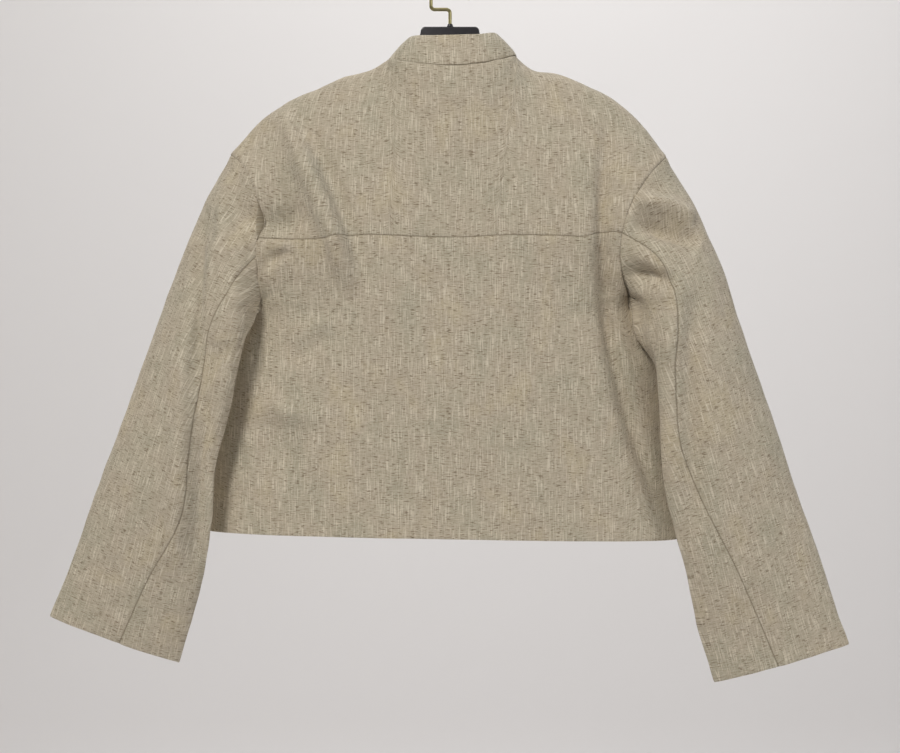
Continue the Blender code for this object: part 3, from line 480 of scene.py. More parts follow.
def build_front(side):
    """Front: the same rules, and past the centre the cloth is its own mirror image for 15 mm."""
    upper = side == "right"
    outer = np.concatenate([armhole(side, "front", "under")[:-1], side_seam(side)])
    turns, lap = front_turns()
    turns = turns if upper else -turns
    top = np.concatenate([shoulder(side)[:-1], neck(turns, upper)])
    plain_y = np.concatenate([np.zeros(len(top) - len(turns)), neck(turns, False)[:, 1]])
    u, v = share_across(top), lengths(outer)
    foot = hem_z(top[-1, 0])
    inner = xyz(top[-1, 0], 0.0, top[-1, 2] + (foot - top[-1, 2]) * v)
    x = outer[-1, 0] + (inner[-1, 0] - outer[-1, 0]) * u
    grid = patch(outer, inner, top, xyz(x, 0.0, hem_z(x)), u, v, SIDE_HOLD)
    depth = CHEST_FRONT - (CHEST_FRONT - HEM_FRONT) * step((v - 0.45) / 0.55)
    low = np.minimum(outer[:, 2], section(side, 0.0, FRONT_EDGE_ANGLE)[2])
    soft = edge_depth(low, outer[:, 1].max())
    full = soft[:, None] + (depth[:, None] - soft[:, None]) * rounded(1 - u)[None]
    fall = shoulder_fall(np.clip((top[None, :, 2] - grid[..., 2]) / SHOULDER_TENT, 0.0, 1.0))
    rest = np.stack([smeared(row - plain_y, u, 2 * NECK_SMEAR * min(1.0, max(2.5 * share, 1e-3)))
                     for row, share in zip(full, v)])
    rest[0] = full[0] - plain_y
    grid[..., 1] = full - rest * (1 - fall)
    grid[..., 1] += seam_pull(grid, outer[:, 1], 0)
    grid[:, 0, 1], grid[0, :, 1] = outer[:, 1], plain_y
    if upper:
        grid[..., 1] += lift(grid[..., 0])
        grid[:, 0, 1] = outer[:, 1]
    past = grid[:, -2:-lap - 1:-1].copy()
    off = past[..., 0] - NECK_X
    past[..., 0] = NECK_X - off * OVERLAP / np.abs(off[:, -1:])
    return np.concatenate([grid, past], axis=1)


def build_collar():
    """Stand collar: straight from neck seam to top edge with a slight belly of 1.5 sin(pi v)."""
    turns, _ = front_turns()
    turns = np.concatenate([-turns[::-1][:-1], BACK_TURNS, turns[1:]])
    low = neck(turns, turns > 0)
    high = loop(turns, turns > 0, (COLLAR_X, COLLAR_Y), COLLAR_HALF, (COLLAR_BACK, COLLAR_FRONT), COLLAR_Z)
    high[0, 0], high[-1, 0] = low[0, 0], low[-1, 0]
    v = spread(40.0)[:, None, None]
    out = unit((low - high) * (1.0, 1.0, 0.0))
    return high[None] + (low - high)[None] * v + 1.5 * np.sin(np.pi * v) * out[None]


# %% Lay out every cut piece
MEETING_REACH = 18.0
# Each piece: its grid, whether its faces run the other way round, and which edges are free.
# Edges are named first row, last row, first column and last column.
cloth = {
    "back_yoke": (build_yoke(), False, ()),
    "lower_back": (build_lower_back(), False, ("last row",)),
    "front_left": (build_front("left"), True, ("last row", "last column")),
    "front_right": (build_front("right"), False, ("last row", "last column")),
    "collar": (build_collar(), False, ("first row", "first column", "last column")),
}
for side in ("left", "right"):
    for part in ("top", "under"):
        cloth[f"{part}_sleeve_{side}"] = (build_sleeve(side, part), side == "right", ("last row",))
# The lower back is brought to the yoke's last row, where the folds end, and keeps its own form below.
below = cloth["lower_back"][0]
gap = cloth["back_yoke"][0][-1] - below[0]
below += gap[None] * bell((below[:1, :, 2] - below[..., 2]) / MEETING_REACH)[..., None]
print("yoke and lower back met within", round(float(np.abs(gap).max()), 2), "mm")
print("cloth grids", {name: grid.shape[:2] for name, (grid, _, _) in cloth.items()})

# %% [markdown]
# ## Folds, seams and hems
#
# Hung linen is never flat: long soft folds fall from the hanger's tips, the sleeves crumple where they
# meet the body, and every seam puckers a little. A displacement modifier with a texture could roughen the
# cloth, but folds have places and directions, so each one is a path with a width and a depth in a table.
# All of them push the cloth along its own normal, and neighbouring pieces share their normals.

# %% Table of creases
# Grouped by where they lie: on the body, the left or right sleeve or all, and -1 on the back, 1 on the
# front, 0 on both. A row has half width and depth, negative for a ridge, then the x and z of each point.
CREASES = {
    ("body", -1): (
        (5, 2, 172, -158, 166, -190, 161, -241, 161, -301, 165, -347, 174, -411, 188, -454, 199, -499,
         208, -533, 224, -586),
        (12, -3, 146, -180, 143, -260, 144, -360, 160, -450, 180, -520),
        (10, -12, -190, -146, -171, -176, -141, -241, -121, -293, -104, -357),
        (9, 6, -166, -142, -152, -176, -124, -235, -104, -285, -88, -350),
        (6, -3, -200, -300, -172, -298),
        (6, 4, -200, -320, -168, -304),
        (9, -3.5, -176, -404, -150, -389, -122, -376),
        (9, 2.5, -176, -424, -146, -408, -120, -392),
        (24, -3, -190, -350, -170, -400),
        (12, -4.5, -215, -468, -180, -474, -130, -484),
        (24, 5, -205, -512, -150, -522),
    ),
    ("all", -1): (
        (15, 10, -240, -258, -205, -273, -178, -276, -146, -264),
        (18, -4, -240, -214, -200, -222, -154, -218),
    ),
    ("body", 0): (
        (12, -5, -200, -322, -209, -352, -220, -400, -228, -450),
        (13, -5, 204, -325, 212, -362, 222, -400),
    ),
    ("left", 0): (
        (12, -10, -199, -306, -203, -332, -216, -368),
    ),
    ("left", -1): (
        (11, -4, -240, -225, -244, -275, -250, -330),
        (7, 8, -267, -250, -268, -330, -268, -411, -271, -480, -276, -560),
        (9, 4, -256, -256, -257, -300),
        (14, -8, -283, -390, -284, -500, -298, -660),
        (14, 12, -252, -390, -258, -500, -274, -660),
        (12, 5, -240, -400, -236, -440),
    ),
    ("right", -1): (
        (9, -13, 190, -249, 232, -257, 264, -270),
        (10, 15, 192, -275, 230, -283, 268, -297),
        (7, -4, 188, -302, 212, -315, 236, -330),
        (8, 10, 184, -327, 204, -330, 224, -335, 238, -341),
        (9, -3, 188, -350, 214, -352, 240, -350),
        (20, -6, 240, -320, 240, -385, 234, -470),
        (10, 2, 262, -330, 262, -400),
        (9, -5.5, 231, -360, 232, -470, 240, -610),
        (11, 10, 253, -350, 254, -470, 263, -610),
    ),
    ("body", 1): (
        (12, 9, 150, -130, 146, -240, 160, -380, 180, -600),
        (13, 9, -160, -130, -140, -260, -118, -360, -104, -540),
        (11, -6, -200, -330, -160, -350, -110, -356),
        (11, -6, 196, -322, 150, -340, 104, -344),
        (18, 4.5, 60, -150, 68, -300, 56, -480),
        (20, 5, -66, -150, -80, -330, -62, -500),
    ),
    ("left", 1): (
        (10, 5, -222, -270, -238, -330, -246, -400),
        (13, 6, -284, -270, -300, -400, -326, -580),
    ),
    ("right", 1): (
        (10, 5, 214, -262, 236, -310, 244, -390),
        (13, 6, 280, -280, 300, -420, 330, -590),
    ),
}


# %% How the folds shape the cloth
# Unevenness: depth in mm, shortest and longest wave, number of waves, and the draw of their directions.
LONG_WAVES, SHORT_WAVES = (0.5, 70, 160, 12, 3), (0.2, 22, 50, 16, 8)
SEAM_PUCKER, HEM_RIPPLE = (0.28, 13, 26, 12, 5), (0.2, 18, 40, 10, 6)
# Seams: groove and its half width, ridge of the turnings with its place and half width.
GROOVE, GROOVE_WIDTH, RIDGE, RIDGE_AT, RIDGE_WIDTH = 0.45, 1.2, 0.25, 7.0, 3.5
ARMHOLE_RIDGE, ARMHOLE_RIDGE_WIDTH, ARMHOLE_RIDGE_FOOT = 2.6, 9.0, -348.0
HELD_BODY, HELD_SLEEVE = 14.0, 8.0       # how far from an armhole its seam still holds the cloth flat
SHOULDER_HOLDS_FOLDS, SHOULDER_HOLDS_WAVES, PUCKER_REACH, RIPPLE_REACH = 22.0, 40.0, 9.0, 16.0
HEM_ROUNDING, HEM_ROUNDING_WIDTH = 0.55, 0.9


def path_distance(x, z, path):
    """Distance from each place to a path in x and z, and the share of the path at the nearest point."""
    a, way = path[:-1].astype(float), np.diff(path, axis=0)
    run = summed(np.linalg.norm(way, axis=1))
    place = np.stack([x, z], axis=-1)[..., None, :]
    f = np.clip(((place - a) * way).sum(-1) / (way**2).sum(-1), 0.0, 1.0)
    far = np.linalg.norm(place - a - way * f[..., None], axis=-1)
    best = far.argmin(axis=-1)[..., None]
    along = (run[:-1] + f * np.diff(run)) / run[-1]
    return np.take_along_axis(far, best, -1)[..., 0], np.take_along_axis(along, best, -1)[..., 0]


def waves(points, size, shortest, longest, count, seed):
    """Soft unevenness: a sum of sine waves in random directions of space, so it doesn't break at a seam."""
    rng = np.random.default_rng(seed)
    way = unit(rng.normal(size=(count, 3)))
    way *= (2 * np.pi / rng.uniform(shortest, longest, count))[:, None]
    total = np.sin(points @ way.T + rng.uniform(0, 2 * np.pi, count)).sum(axis=-1)
    return size * total / math.sqrt(count / 2)


def edge_distances(grid, free):
    """Millimetres to the nearest sewn edge and to the nearest free one, measured along rows and columns."""
    far = {}
    for axis, names in ((0, ("first row", "last row")), (1, ("first column", "last column"))):
        run = length_along(grid, axis)
        far[names[0]], far[names[1]] = run, np.take(run, [-1], axis) - run
    sewn = np.minimum.reduce([value for name, value in far.items() if name not in free])
    bare = np.minimum.reduce([far[name] for name in free] or [np.full(sewn.shape, 999.0)])
    return sewn, bare, far


def grid_faces(rows, columns, start=0):
    """Quads between neighbouring rows and columns of a grid."""
    index = np.arange(rows * columns).reshape(rows, columns) + start
    return np.stack([index[:-1, :-1], index[:-1, 1:], index[1:, 1:], index[1:, :-1]], -1).reshape(-1, 4)


def shared_normals():
    """Outward normal at each point: normals of the faces round it, weighted by their areas and added up
    over all pieces that have a point at that place, so two pieces agree along their seam."""
    points = np.concatenate([grid.reshape(-1, 3) for grid, _, _ in cloth.values()])
    faces, start = [], 0
    for grid, flip, _ in cloth.values():
        face = grid_faces(*grid.shape[:2], start)
        faces.append(face[:, ::-1] if flip else face)
        start += grid[..., 0].size
    faces = np.concatenate(faces)
    _, place = np.unique(np.round(points + 0.00017, 3), axis=0, return_inverse=True)
    place = place.ravel()
    cross = np.cross(points[faces[:, 3]] - points[faces[:, 1]], points[faces[:, 2]] - points[faces[:, 0]])
    total = np.zeros((place.max() + 1, 3))
    for corner in faces.T:
        np.add.at(total, place[corner], cross)
    ends = np.cumsum([grid[..., 0].size for grid, _, _ in cloth.values()])[:-1]
    parts = np.split(unit(total)[place], ends)
    return {name: part.reshape(cloth[name][0].shape) for name, part in zip(cloth, parts)}


def relief(name, grid, normal, sewn, free, far):
    """How deep the cloth is pressed in: creases, long and short waves, the groove of each seam, the ridge
    of its turnings, and the last millimetre of a free edge rounded off."""
    group = name.split("_")[-1] if "sleeve" in name else "body"
    back = name in ("back_yoke", "lower_back")
    held_edges = (("first column", "last column") if back else ("last row",) if name == "collar"
                  else ("first column",) if group == "body" else ("first row",))
    armhole_gap = np.minimum.reduce([far[edge] for edge in held_edges])
    x, z = grid[..., 0], grid[..., 2]
    depth = np.zeros_like(x)
    held = step(armhole_gap / (HELD_BODY if group == "body" else HELD_SLEEVE))
    for (on, face), rows in CREASES.items():
        share = step((face * normal[..., 1] + 0.1) / 0.6) if face else 1.0
        share = share * (held if on == group else 1.0)
        for half_width, size, *path in rows if on in (group, "all") else ():
            gap, along = path_distance(x, z, np.reshape(path, (-1, 2)))
            depth += size * share * bell(gap / half_width) * (1.0 - np.abs(2.0 * along - 1.0) ** 3)
    shoulder_gap = far["first row"] if name in ("back_yoke", "front_left", "front_right") else 99.0
    depth *= step(shoulder_gap / SHOULDER_HOLDS_FOLDS)
    uneven = waves(grid, *LONG_WAVES) + waves(grid, *SHORT_WAVES)
    depth += uneven * step(shoulder_gap / SHOULDER_HOLDS_WAVES)
    depth += waves(grid, *SEAM_PUCKER) * np.exp(-sewn / PUCKER_REACH)
    depth += GROOVE * bell(sewn / GROOVE_WIDTH) - RIDGE * bell((sewn - RIDGE_AT) / RIDGE_WIDTH)
    if back or group != "body":
        faces_back = step((-normal[..., 1] - 0.1) / 0.5) * step((z - ARMHOLE_RIDGE_FOOT) / 25.0)
        depth -= ARMHOLE_RIDGE * bell(armhole_gap / ARMHOLE_RIDGE_WIDTH) * faces_back
    depth += waves(grid, *HEM_RIPPLE) * np.exp(-free / RIPPLE_REACH)
    return depth + HEM_ROUNDING * bell(free / HEM_ROUNDING_WIDTH)


# %% [markdown]
# ## From a grid to a wall of cloth
#
# A Solidify modifier would give the sheet its thickness. Here the inner face is the outer one moved in
# by the cloth's thickness, along the same shared normals, with a rim round it. That makes each piece one
# closed wall, and two walls that meet in a seam run side by side instead of into each other.

# %% Walls with their measures
def grain(name, grid):
    """Millimetres across and along the grain. Body: x and y steps add up across, y and z steps down each
    column. Sleeve: the grain runs from cuff to armhole, and across is the place square to it in the flat,
    plus what the steps in depth add from the middle column on; the front is the back unrolled."""
    if "sleeve" not in name:
        band = name == "collar"
        middle = grid.shape[1] // 2 if band else int(np.abs(grid[-1, :, 0]).argmin())
        way = 1.0 if band else np.sign(grid[-1, -1, 0] - grid[-1, 0, 0])
        across = way * length_along(grid[..., :2], 1)
        return (across - across[:, middle:middle + 1] + grid[:, middle:middle + 1, 0],
                grid[:1, :, 2] * (not band) - length_along(grid[..., 1:]))
    middle = slice(grid.shape[1] // 2, grid.shape[1] // 2 + 1)
    axis = unit(grid[0].mean(axis=0) - grid[-1].mean(axis=0))
    flat = np.cross(axis, (0.0, -1.0, 0.0))
    place = grid @ flat
    steps = np.diff(grid, axis=1)
    turned = np.linalg.norm(steps - (steps @ axis)[..., None] * axis, axis=-1)
    turned = summed(turned - np.abs(np.diff(place, axis=1)), 1)
    inward = np.sign((place - place[:, middle]).mean())
    place = place + inward * np.abs(turned - turned[:, middle])
    back = (np.arange(grid.shape[1]) > middle.start) == (grid[:, 0, 1].mean() > grid[:, -1, 1].mean())
    return np.where(back[None], place, 2 * place[:, middle] - place), grid @ axis


def add_mesh(name, points, faces, uv=None, sewn=None, smooth_to=60.0):
    """A mesh from points in mm and faces; cloth also keeps each point's place on the grain as its UV, and
    its distance to the nearest seam."""
    mesh = bpy.data.meshes.new(name)
    mesh.from_pydata((np.asarray(points) * MM).tolist(), [], faces)
    if uv is not None:
        loops = np.empty(len(mesh.loops), np.int32)
        mesh.loops.foreach_get("vertex_index", loops)
        mesh.uv_layers.new(name="grain").data.foreach_set("uv", uv.astype(np.float32)[loops].ravel())
        mesh.attributes.new("sewn", "FLOAT", "POINT").data.foreach_set("value", sewn.astype(np.float32))
    mesh.shade_smooth()
    mesh.set_sharp_from_angle(angle=math.radians(smooth_to))
    mesh.update()
    obj = bpy.data.objects.new(name, mesh)
    bpy.context.scene.collection.objects.link(obj)
    return obj


def add_wall(name, grid, flip, free, normal):
    """Closed wall of cloth: outer face, inner face one thickness further in, and the rim between them."""
    sewn, bare, far = edge_distances(grid, free)
    u, v = grain(name, grid)
    outer = grid - normal * relief(name, grid, normal, sewn, bare, far)[..., None]
    hem = 1.0 - 0.5 * bell(bare / HEM_ROUNDING_WIDTH)
    inner = outer - normal * (WALL * hem)[..., None]
    face = grid_faces(*grid.shape[:2])
    count = u.size
    index = np.arange(count).reshape(u.shape)
    ring = np.concatenate([index[0, :-1], index[:-1, -1], index[-1, :0:-1], index[:0:-1, 0]])
    after = np.roll(ring, -1)
    rim = np.stack([ring, ring + count, after + count, after], axis=1)
    faces = np.concatenate([face[:, ::-1], face + count, rim[:, ::-1]])
    if flip:
        faces = faces[:, ::-1]
    points = np.concatenate([outer.reshape(-1, 3), inner.reshape(-1, 3)])
    uv = np.tile(np.stack([u.ravel(), v.ravel()], axis=1), (2, 1))
    wall = add_mesh("cloth_" + name, points, faces.tolist(), uv, np.tile(sewn.ravel(), 2))
    corners = outer[:-1, :-1], outer[:-1, 1:], outer[1:, 1:], outer[1:, :-1]
    area = np.linalg.norm(np.cross(corners[2] - corners[0], corners[3] - corners[1]), axis=-1).sum() / 2
    return wall, (float(np.ptp(u)), float(np.ptp(v)), float(area)), outer


normals = shared_normals()
pieces, cuts, outers = {}, {}, {}
for name, (grid, flip, free) in cloth.items():
    pieces[name], cuts[name], outers[name] = add_wall(name, grid, flip, free, normals[name])
print("triangles", 2 * sum(len(p.data.polygons) for p in pieces.values()))
print("cut sizes in mm", {name: [round(a) for a in cut[:2]] for name, cut in cuts.items()})

# %% [markdown]
# ## Buttons and buttonholes
#
# The jacket closes with six horn buttons, hidden from behind. A button is turned on a lathe, so a
# cylinder with bevels would nearly do; but its dished face and its four holes are what makes it a button,
# so its height is one function of radius and angle, sampled on rings.

# %% Buttons
BUTTONS, BUTTON_RADIUS, BUTTON_THICKNESS, BUTTON_RIM = 6, 9.0, 3.0, 1.1
DISH, DISH_RADIUS, DISH_SLOPE = 0.8, 6.9, 1.6
HOLE_RADIUS, HOLE_DEPTH, HOLE_OFFSET = 1.15, 1.5, 1.789      # the holes' x and z from the middle


def ring_faces(rings, count, closed=False):
    """Quads from each ring of a tube or of turned work to the next one, and last, if it isn't closed, its
    two flat ends."""
    index = np.arange(rings * count).reshape(rings, count)
    here, there = (index, np.roll(index, -1, 0)) if closed else (index[:-1], index[1:])
    faces = np.stack([here, np.roll(here, -1, 1), np.roll(there, -1, 1), there], -1).reshape(-1, 4).tolist()
    return faces if closed else faces + [index[0, ::-1].tolist(), index[-1].tolist()]


def button_face(radius, turn):
    """Height over the button's back: a rim rounded as a quarter ellipse, t being the share of the way in,
    3 (t (2 - t))^(1/2), less a dish with a soft slope and a pit at each of the four holes."""
    rim = np.clip((BUTTON_RADIUS - radius) / BUTTON_RIM, 0.0, 1.0)
    x, z = np.abs(radius * np.cos(turn)), np.abs(radius * np.sin(turn))
    off = np.hypot(x - HOLE_OFFSET, z - HOLE_OFFSET)
    return (BUTTON_THICKNESS * np.sqrt(rim * (2.0 - rim)) - DISH * step((DISH_RADIUS - radius) / DISH_SLOPE)
            - HOLE_DEPTH * step((HOLE_RADIUS + 0.25 - off) / 0.5))


def add_button(number, centre):
    """One button as rings from its middle to its rim, and a flat back."""
    rim = BUTTON_RADIUS - BUTTON_RIM * np.cos(np.linspace(0.1, 1.57, 6))
    radius = np.concatenate([np.arange(0.35, BUTTON_RADIUS - BUTTON_RIM, 0.35), rim])
    turn = circle(72)
    r, t = np.meshgrid(radius, turn, indexing="ij")
    front = np.array(centre) + xyz(r * np.cos(t), button_face(r, t), r * np.sin(t))
    tip = np.array(centre) + (0.0, float(button_face(0.0, 0.0)), 0.0)
    rings, count = r.shape
    ring = np.arange(count)
    after, last = np.roll(ring, -1), (rings - 1) * count
    faces = ring_faces(rings, count)[:-2]
    faces += np.stack([after, ring, np.full(count, rings * count)], 1).tolist()
    faces += np.stack([ring + last, after + last, np.full(count, rings * count + 1)], 1).tolist()
    return add_mesh(f"button_{number}_horn", np.concatenate([front.reshape(-1, 3), [tip, centre]]), faces,
                    smooth_to=70.0)


def tube(path, radius, sides=16, closed=False):
    """A circle of this radius carried along a path in the plane across Y: ring k is the path's point plus
    radius times (cosine times the path's own normal + sine times Y), so its faces point outwards."""
    path = np.asarray(path, float)
    ahead = np.roll(path, -1, 0) - np.roll(path, 1, 0) if closed else np.gradient(path, axis=0)
    across = np.cross((0.0, 1.0, 0.0), unit(ahead))[:, None]
    turn = circle(sides)[:, None]
    rings = path[:, None] + radius * (np.cos(turn) * across + np.sin(turn) * np.array((0.0, 1.0, 0.0)))
    return rings.reshape(-1, 3), ring_faces(len(path), sides, closed)


front = outers["front_right"]
middle_column = int(np.abs(front[0, :, 0] - NECK_X).argmin())
seat_z, seat_y = front[:, middle_column, 2][::-1], front[:, middle_column, 1][::-1]
seats = []
for number in range(1, BUTTONS + 1):
    low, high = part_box(f"button_{number}")
    centre = (np.array(low) + np.array(high)) / 2 / MM
    seats.append((float(centre[0]), float(low[1]) / MM, float(centre[2])))
    pieces[f"button_{number}"] = add_button(number, seats[-1])
print("buttons at z", [round(s[2]) for s in seats])

# %% Thread of the buttons and worked buttonholes
# Four threads cross each button in two pairs; their ends lie in its holes, so they have no flat ends.
THREAD_RADIUS, THREAD_LANES, THREAD_HEIGHT, THREAD_RISE = 0.3, (-0.28, 0.28), 2.05, 0.35
BUTTONHOLE_HALF, BUTTONHOLE_TALL, BUTTONHOLE_SHIFT, BUTTONHOLE_RADIUS = 10.5, 1.1, 6.5, 0.75
order = front[0, :, 0].argsort()
for number, (x, y, z) in enumerate(seats, 1):
    bow = np.linspace(-1.0, 1.0, 9)
    thread_points, thread_faces = [], []
    for row in (-HOLE_OFFSET, HOLE_OFFSET):
        for lane in THREAD_LANES:
            height = THREAD_HEIGHT + THREAD_RISE * (1 - bow**4)
            path = xyz(x + HOLE_OFFSET * bow, y + height, z + row + lane)
            points, faces = tube(path, THREAD_RADIUS, 8)
            start = len(thread_points) * len(points)
            thread_faces += [[start + corner for corner in face] for face in faces[:-2]]
            thread_points.append(points)
    pieces[f"thread_{number}"] = add_mesh(f"thread_{number}", np.concatenate(thread_points), thread_faces)
    turn = circle(64)
    flat = np.sign(np.cos(turn)) * np.abs(np.cos(turn)) ** 0.35
    worked_x, worked_z = x + BUTTONHOLE_SHIFT + BUTTONHOLE_HALF * flat, z + BUTTONHOLE_TALL * np.sin(turn)
    columns = np.swapaxes(front[::-1], 0, 1)
    across_y = np.array([np.interp(z, column[:, 2], column[:, 1]) for column in columns])
    rise = np.interp(worked_x, front[0, order, 0], across_y[order]) - np.interp(z, seat_z, seat_y)
    worked_y = np.interp(worked_z, seat_z, seat_y) + rise + 0.15
    ring_points, faces = tube(xyz(worked_x, worked_y, worked_z), BUTTONHOLE_RADIUS, 8, closed=True)
    pieces[f"buttonhole_{number}"] = add_mesh(f"buttonhole_{number}", ring_points, faces)

# %% [markdown]
# ## Hanger
#
# The hanger is injection moulded in black plastic: a flat plate with softened edges, whose neck stands
# up inside the collar, and a small boss that grips the wire. A plain extruded outline would show sharp
# edges, so here the outline is carried in six steps round a quarter circle at each edge.

# %% Hanger plate and boss
HANGER_THICKNESS, HANGER_DEPTH, HANGER_TIP_DEPTH, HANGER_DROP = 9.0, 17.0, 12.0, 7.2
HANGER_TIP_X, HANGER_JOIN_X, HANGER_EDGE = 172.0, 74.0, 1.6
NECK_PLATE = {"half": 32.0, "top": -56.9, "corner": 5.0, "foot_half": 36.0, "foot": -82.0}
BOSS_PROFILE = np.array(((3.5, -56.6), (3.6, -56.2), (3.5, -55.4), (3.1, -55.1), (3.05, -54.7),
                         (2.95, -54.0), (2.6, -53.55), (2.0, -53.4)))


def hanger_outline():
    """Outline in x and z: neck plate with round corners, and two arms that follow the shoulders."""
    arm = np.linspace(HANGER_JOIN_X, HANGER_TIP_X, 40)
    right = np.stack([arm, smooth(*SHOULDER["right"], arm) - HANGER_DROP], axis=1)
    left = np.stack([-arm, smooth(*SHOULDER["left"], -arm) - HANGER_DROP], axis=1)
    corner = NECK_PLATE["corner"]
    turn = arc(0.0, 90.0, 10)
    round_right = np.stack([NECK_PLATE["half"] - corner + corner * np.cos(turn),
                            NECK_PLATE["top"] - corner + corner * np.sin(turn)], axis=1)
    deep = np.stack([0 * arm, np.linspace(HANGER_DEPTH, HANGER_TIP_DEPTH, len(arm))], axis=1)
    tip = arc(75.0, -75.0, 7)
    tips = [side[-1] + np.stack([sign * HANGER_TIP_DEPTH * 0.45 * np.cos(tip),
                                 HANGER_TIP_DEPTH * (np.sin(tip) - 1) / 2], axis=1)
            for side, sign in ((right, 1), (left, -1))]
    foot = (NECK_PLATE["foot_half"], NECK_PLATE["foot"])
    return np.concatenate([
        [foot], round_right, round_right[::-1] * (-1, 1), [(-foot[0], foot[1])], left, tips[1],
        (left - deep)[::-1], [(0.0, (right - deep)[0, 1] + 6.0)], right - deep, tips[0][::-1], right[::-1]])


def inset(outline, by):
    """The outline moved in by a distance, each point along the mean of its two edges' normals."""
    way = unit(np.roll(outline, -1, 0) - outline)
    square = np.stack([-way[:, 1], way[:, 0]], axis=1)
    mean = unit(square + np.roll(square, 1, 0))
    return outline + mean * by / np.clip((mean * square).sum(1, keepdims=True), 0.5, 1.0)


outline = hanger_outline()
ahead = np.roll(outline, -1, 0)
if np.sum(outline[:, 0] * ahead[:, 1] - ahead[:, 0] * outline[:, 1]) < 0:
    outline = outline[::-1]
rings = []
for side_of, angles in ((1, arc(90.0, 0.0, 7)), (-1, arc(0.0, 90.0, 7))):
    for a in angles:
        flat = inset(outline, HANGER_EDGE * (1 - np.cos(a)))
        y = side_of * (HANGER_THICKNESS / 2 - HANGER_EDGE + HANGER_EDGE * np.sin(a))
        rings.append(xyz(flat[:, 0], y, flat[:, 1]))
pieces["hanger_body"] = add_mesh("hanger_plate", np.concatenate(rings), ring_faces(len(rings), len(outline)),
                                 smooth_to=35.0)

turn = circle(40)
radius, height = BOSS_PROFILE[:, :1], BOSS_PROFILE[:, 1:]
ring = xyz(radius * np.cos(turn), radius * np.sin(turn), height)
pieces["hook_boss"] = add_mesh("hanger_boss", ring.reshape(-1, 3), ring_faces(*ring.shape[:2]),
                               smooth_to=50.0)
print("hanger from", round(float(outline[:, 0].min())), "to", round(float(outline[:, 0].max())), "mm")

# %% [markdown]
# ## Hook
#
# The hook is brass-plated steel wire, 3.9 mm thick, bent in one plane: up from the boss, a jog to one
# side, and round the rail. A Blender curve with a bevel would make it; the same tube function that made
# the buttonholes does too, and its path is made of straight runs and arcs as a bending jig makes them.

# %% Wire hook
WIRE_RADIUS, HOOK_RADIUS, HOOK_FOOT, HOOK_JOG_Z, HOOK_BEND, HOOK_END = 1.95, 20.8, -53.1, -37.3, 4.0, 21.0


def hook_path():
    """Centre line in x and z: a straight foot, two quarter arcs that make the jog, and the round bend."""
    quarter = arc(0.0, 90.0, 14)
    first = np.stack([HOOK_BEND * (np.cos(quarter) - 1), HOOK_JOG_Z - HOOK_BEND * (1 - np.sin(quarter))], 1)
    second = np.stack([-HOOK_RADIUS + HOOK_BEND * (1 - np.sin(quarter)),
                       HOOK_JOG_Z + HOOK_BEND * (1 - np.cos(quarter))], 1)
    turn = arc(180.0, -HOOK_END, 90)
    bend = np.stack([HOOK_RADIUS * np.cos(turn), WIRE_RADIUS + HOOK_RADIUS * (np.sin(turn) - 1)], 1)
    foot = np.stack([np.zeros(4), np.linspace(HOOK_FOOT, first[0, 1] - 0.6, 4)], 1)
    flat = np.concatenate([foot, first, second, bend])
    return xyz(flat[:, 0], 0.0, flat[:, 1])


wire_points, wire_faces = tube(hook_path(), WIRE_RADIUS, 28)
pieces["hook_wire"] = add_mesh("hook_brass_wire", wire_points, wire_faces, smooth_to=50.0)
print("wire", len(hook_path()), "rings")

# %% [markdown]
# ## Materials
#
# The cloth is a linen weave in oatmeal: thick and thin yarns, brown-grey flecks of bark that lie along
# the weft, and pale slubs along the warp. An image of cloth would tile and smear; noise stretched along
# the yarns, on coordinates in real millimetres, gives the same look at any distance.

# %% Material helpers
def colour(code):
    """sRGB hex to linear light: v / 12.92 below 0.04045, else ((v + 0.055) / 1.055)^2.4."""
    v = np.array([int(code[i:i + 2], 16) for i in (1, 3, 5)]) / 255
    return (*np.where(v <= 0.04045, v / 12.92, ((v + 0.055) / 1.055) ** 2.4).tolist(), 1.0)


def add_node(material, kind, inputs=None, **settings):
    """A node with its settings; an input is set to a plain value or linked to another node's output."""
    tree = material.node_tree
    made = tree.nodes.new("ShaderNode" + kind)
    for key, value in settings.items():
        setattr(made, key, value)
    for key, value in (inputs or {}).items():
        if isinstance(value, bpy.types.NodeSocket):
            tree.links.new(value, made.inputs[key])
        else:
            made.inputs[key].default_value = value
    return made


def new_material(name, values):
    """A material and its shader, with the plain values of the shader's sockets."""
    material = bpy.data.materials.new(name)
    material.use_nodes = True
    shader = material.node_tree.nodes["Principled BSDF"]
    for socket, value in values.items():
        shader.inputs[socket].default_value = value
    return material, shader


def ramp(material, value, stops):
    """A ramp of grey or colour between the stops, each a place and a hex colour."""
    made = add_node(material, "ValToRGB", {"Fac": value})
    band = made.color_ramp
    for k, (place, code) in enumerate(stops):
        stop = band.elements[k] if k < 2 else band.elements.new(place)
        stop.position, stop.color = place, colour(code)
    return made.outputs["Color"]


def mix(material, amount, first, second):
    """The first colour where the amount is 0, the second where it is 1."""
    return add_node(material, "Mix", {0: amount, 6: first, 7: second}, data_type="RGBA").outputs[2]


def dress(material, shader, base, height, strength, distance):
    """Gives the shader its base colour, and a bump of this strength and distance in metres."""
    bump = add_node(material, "Bump", {"Height": height, "Strength": strength, "Distance": distance})
    for output, socket in ((base, "Base Color"), (bump.outputs[0], "Normal")):
        material.node_tree.links.new(output, shader.inputs[socket])


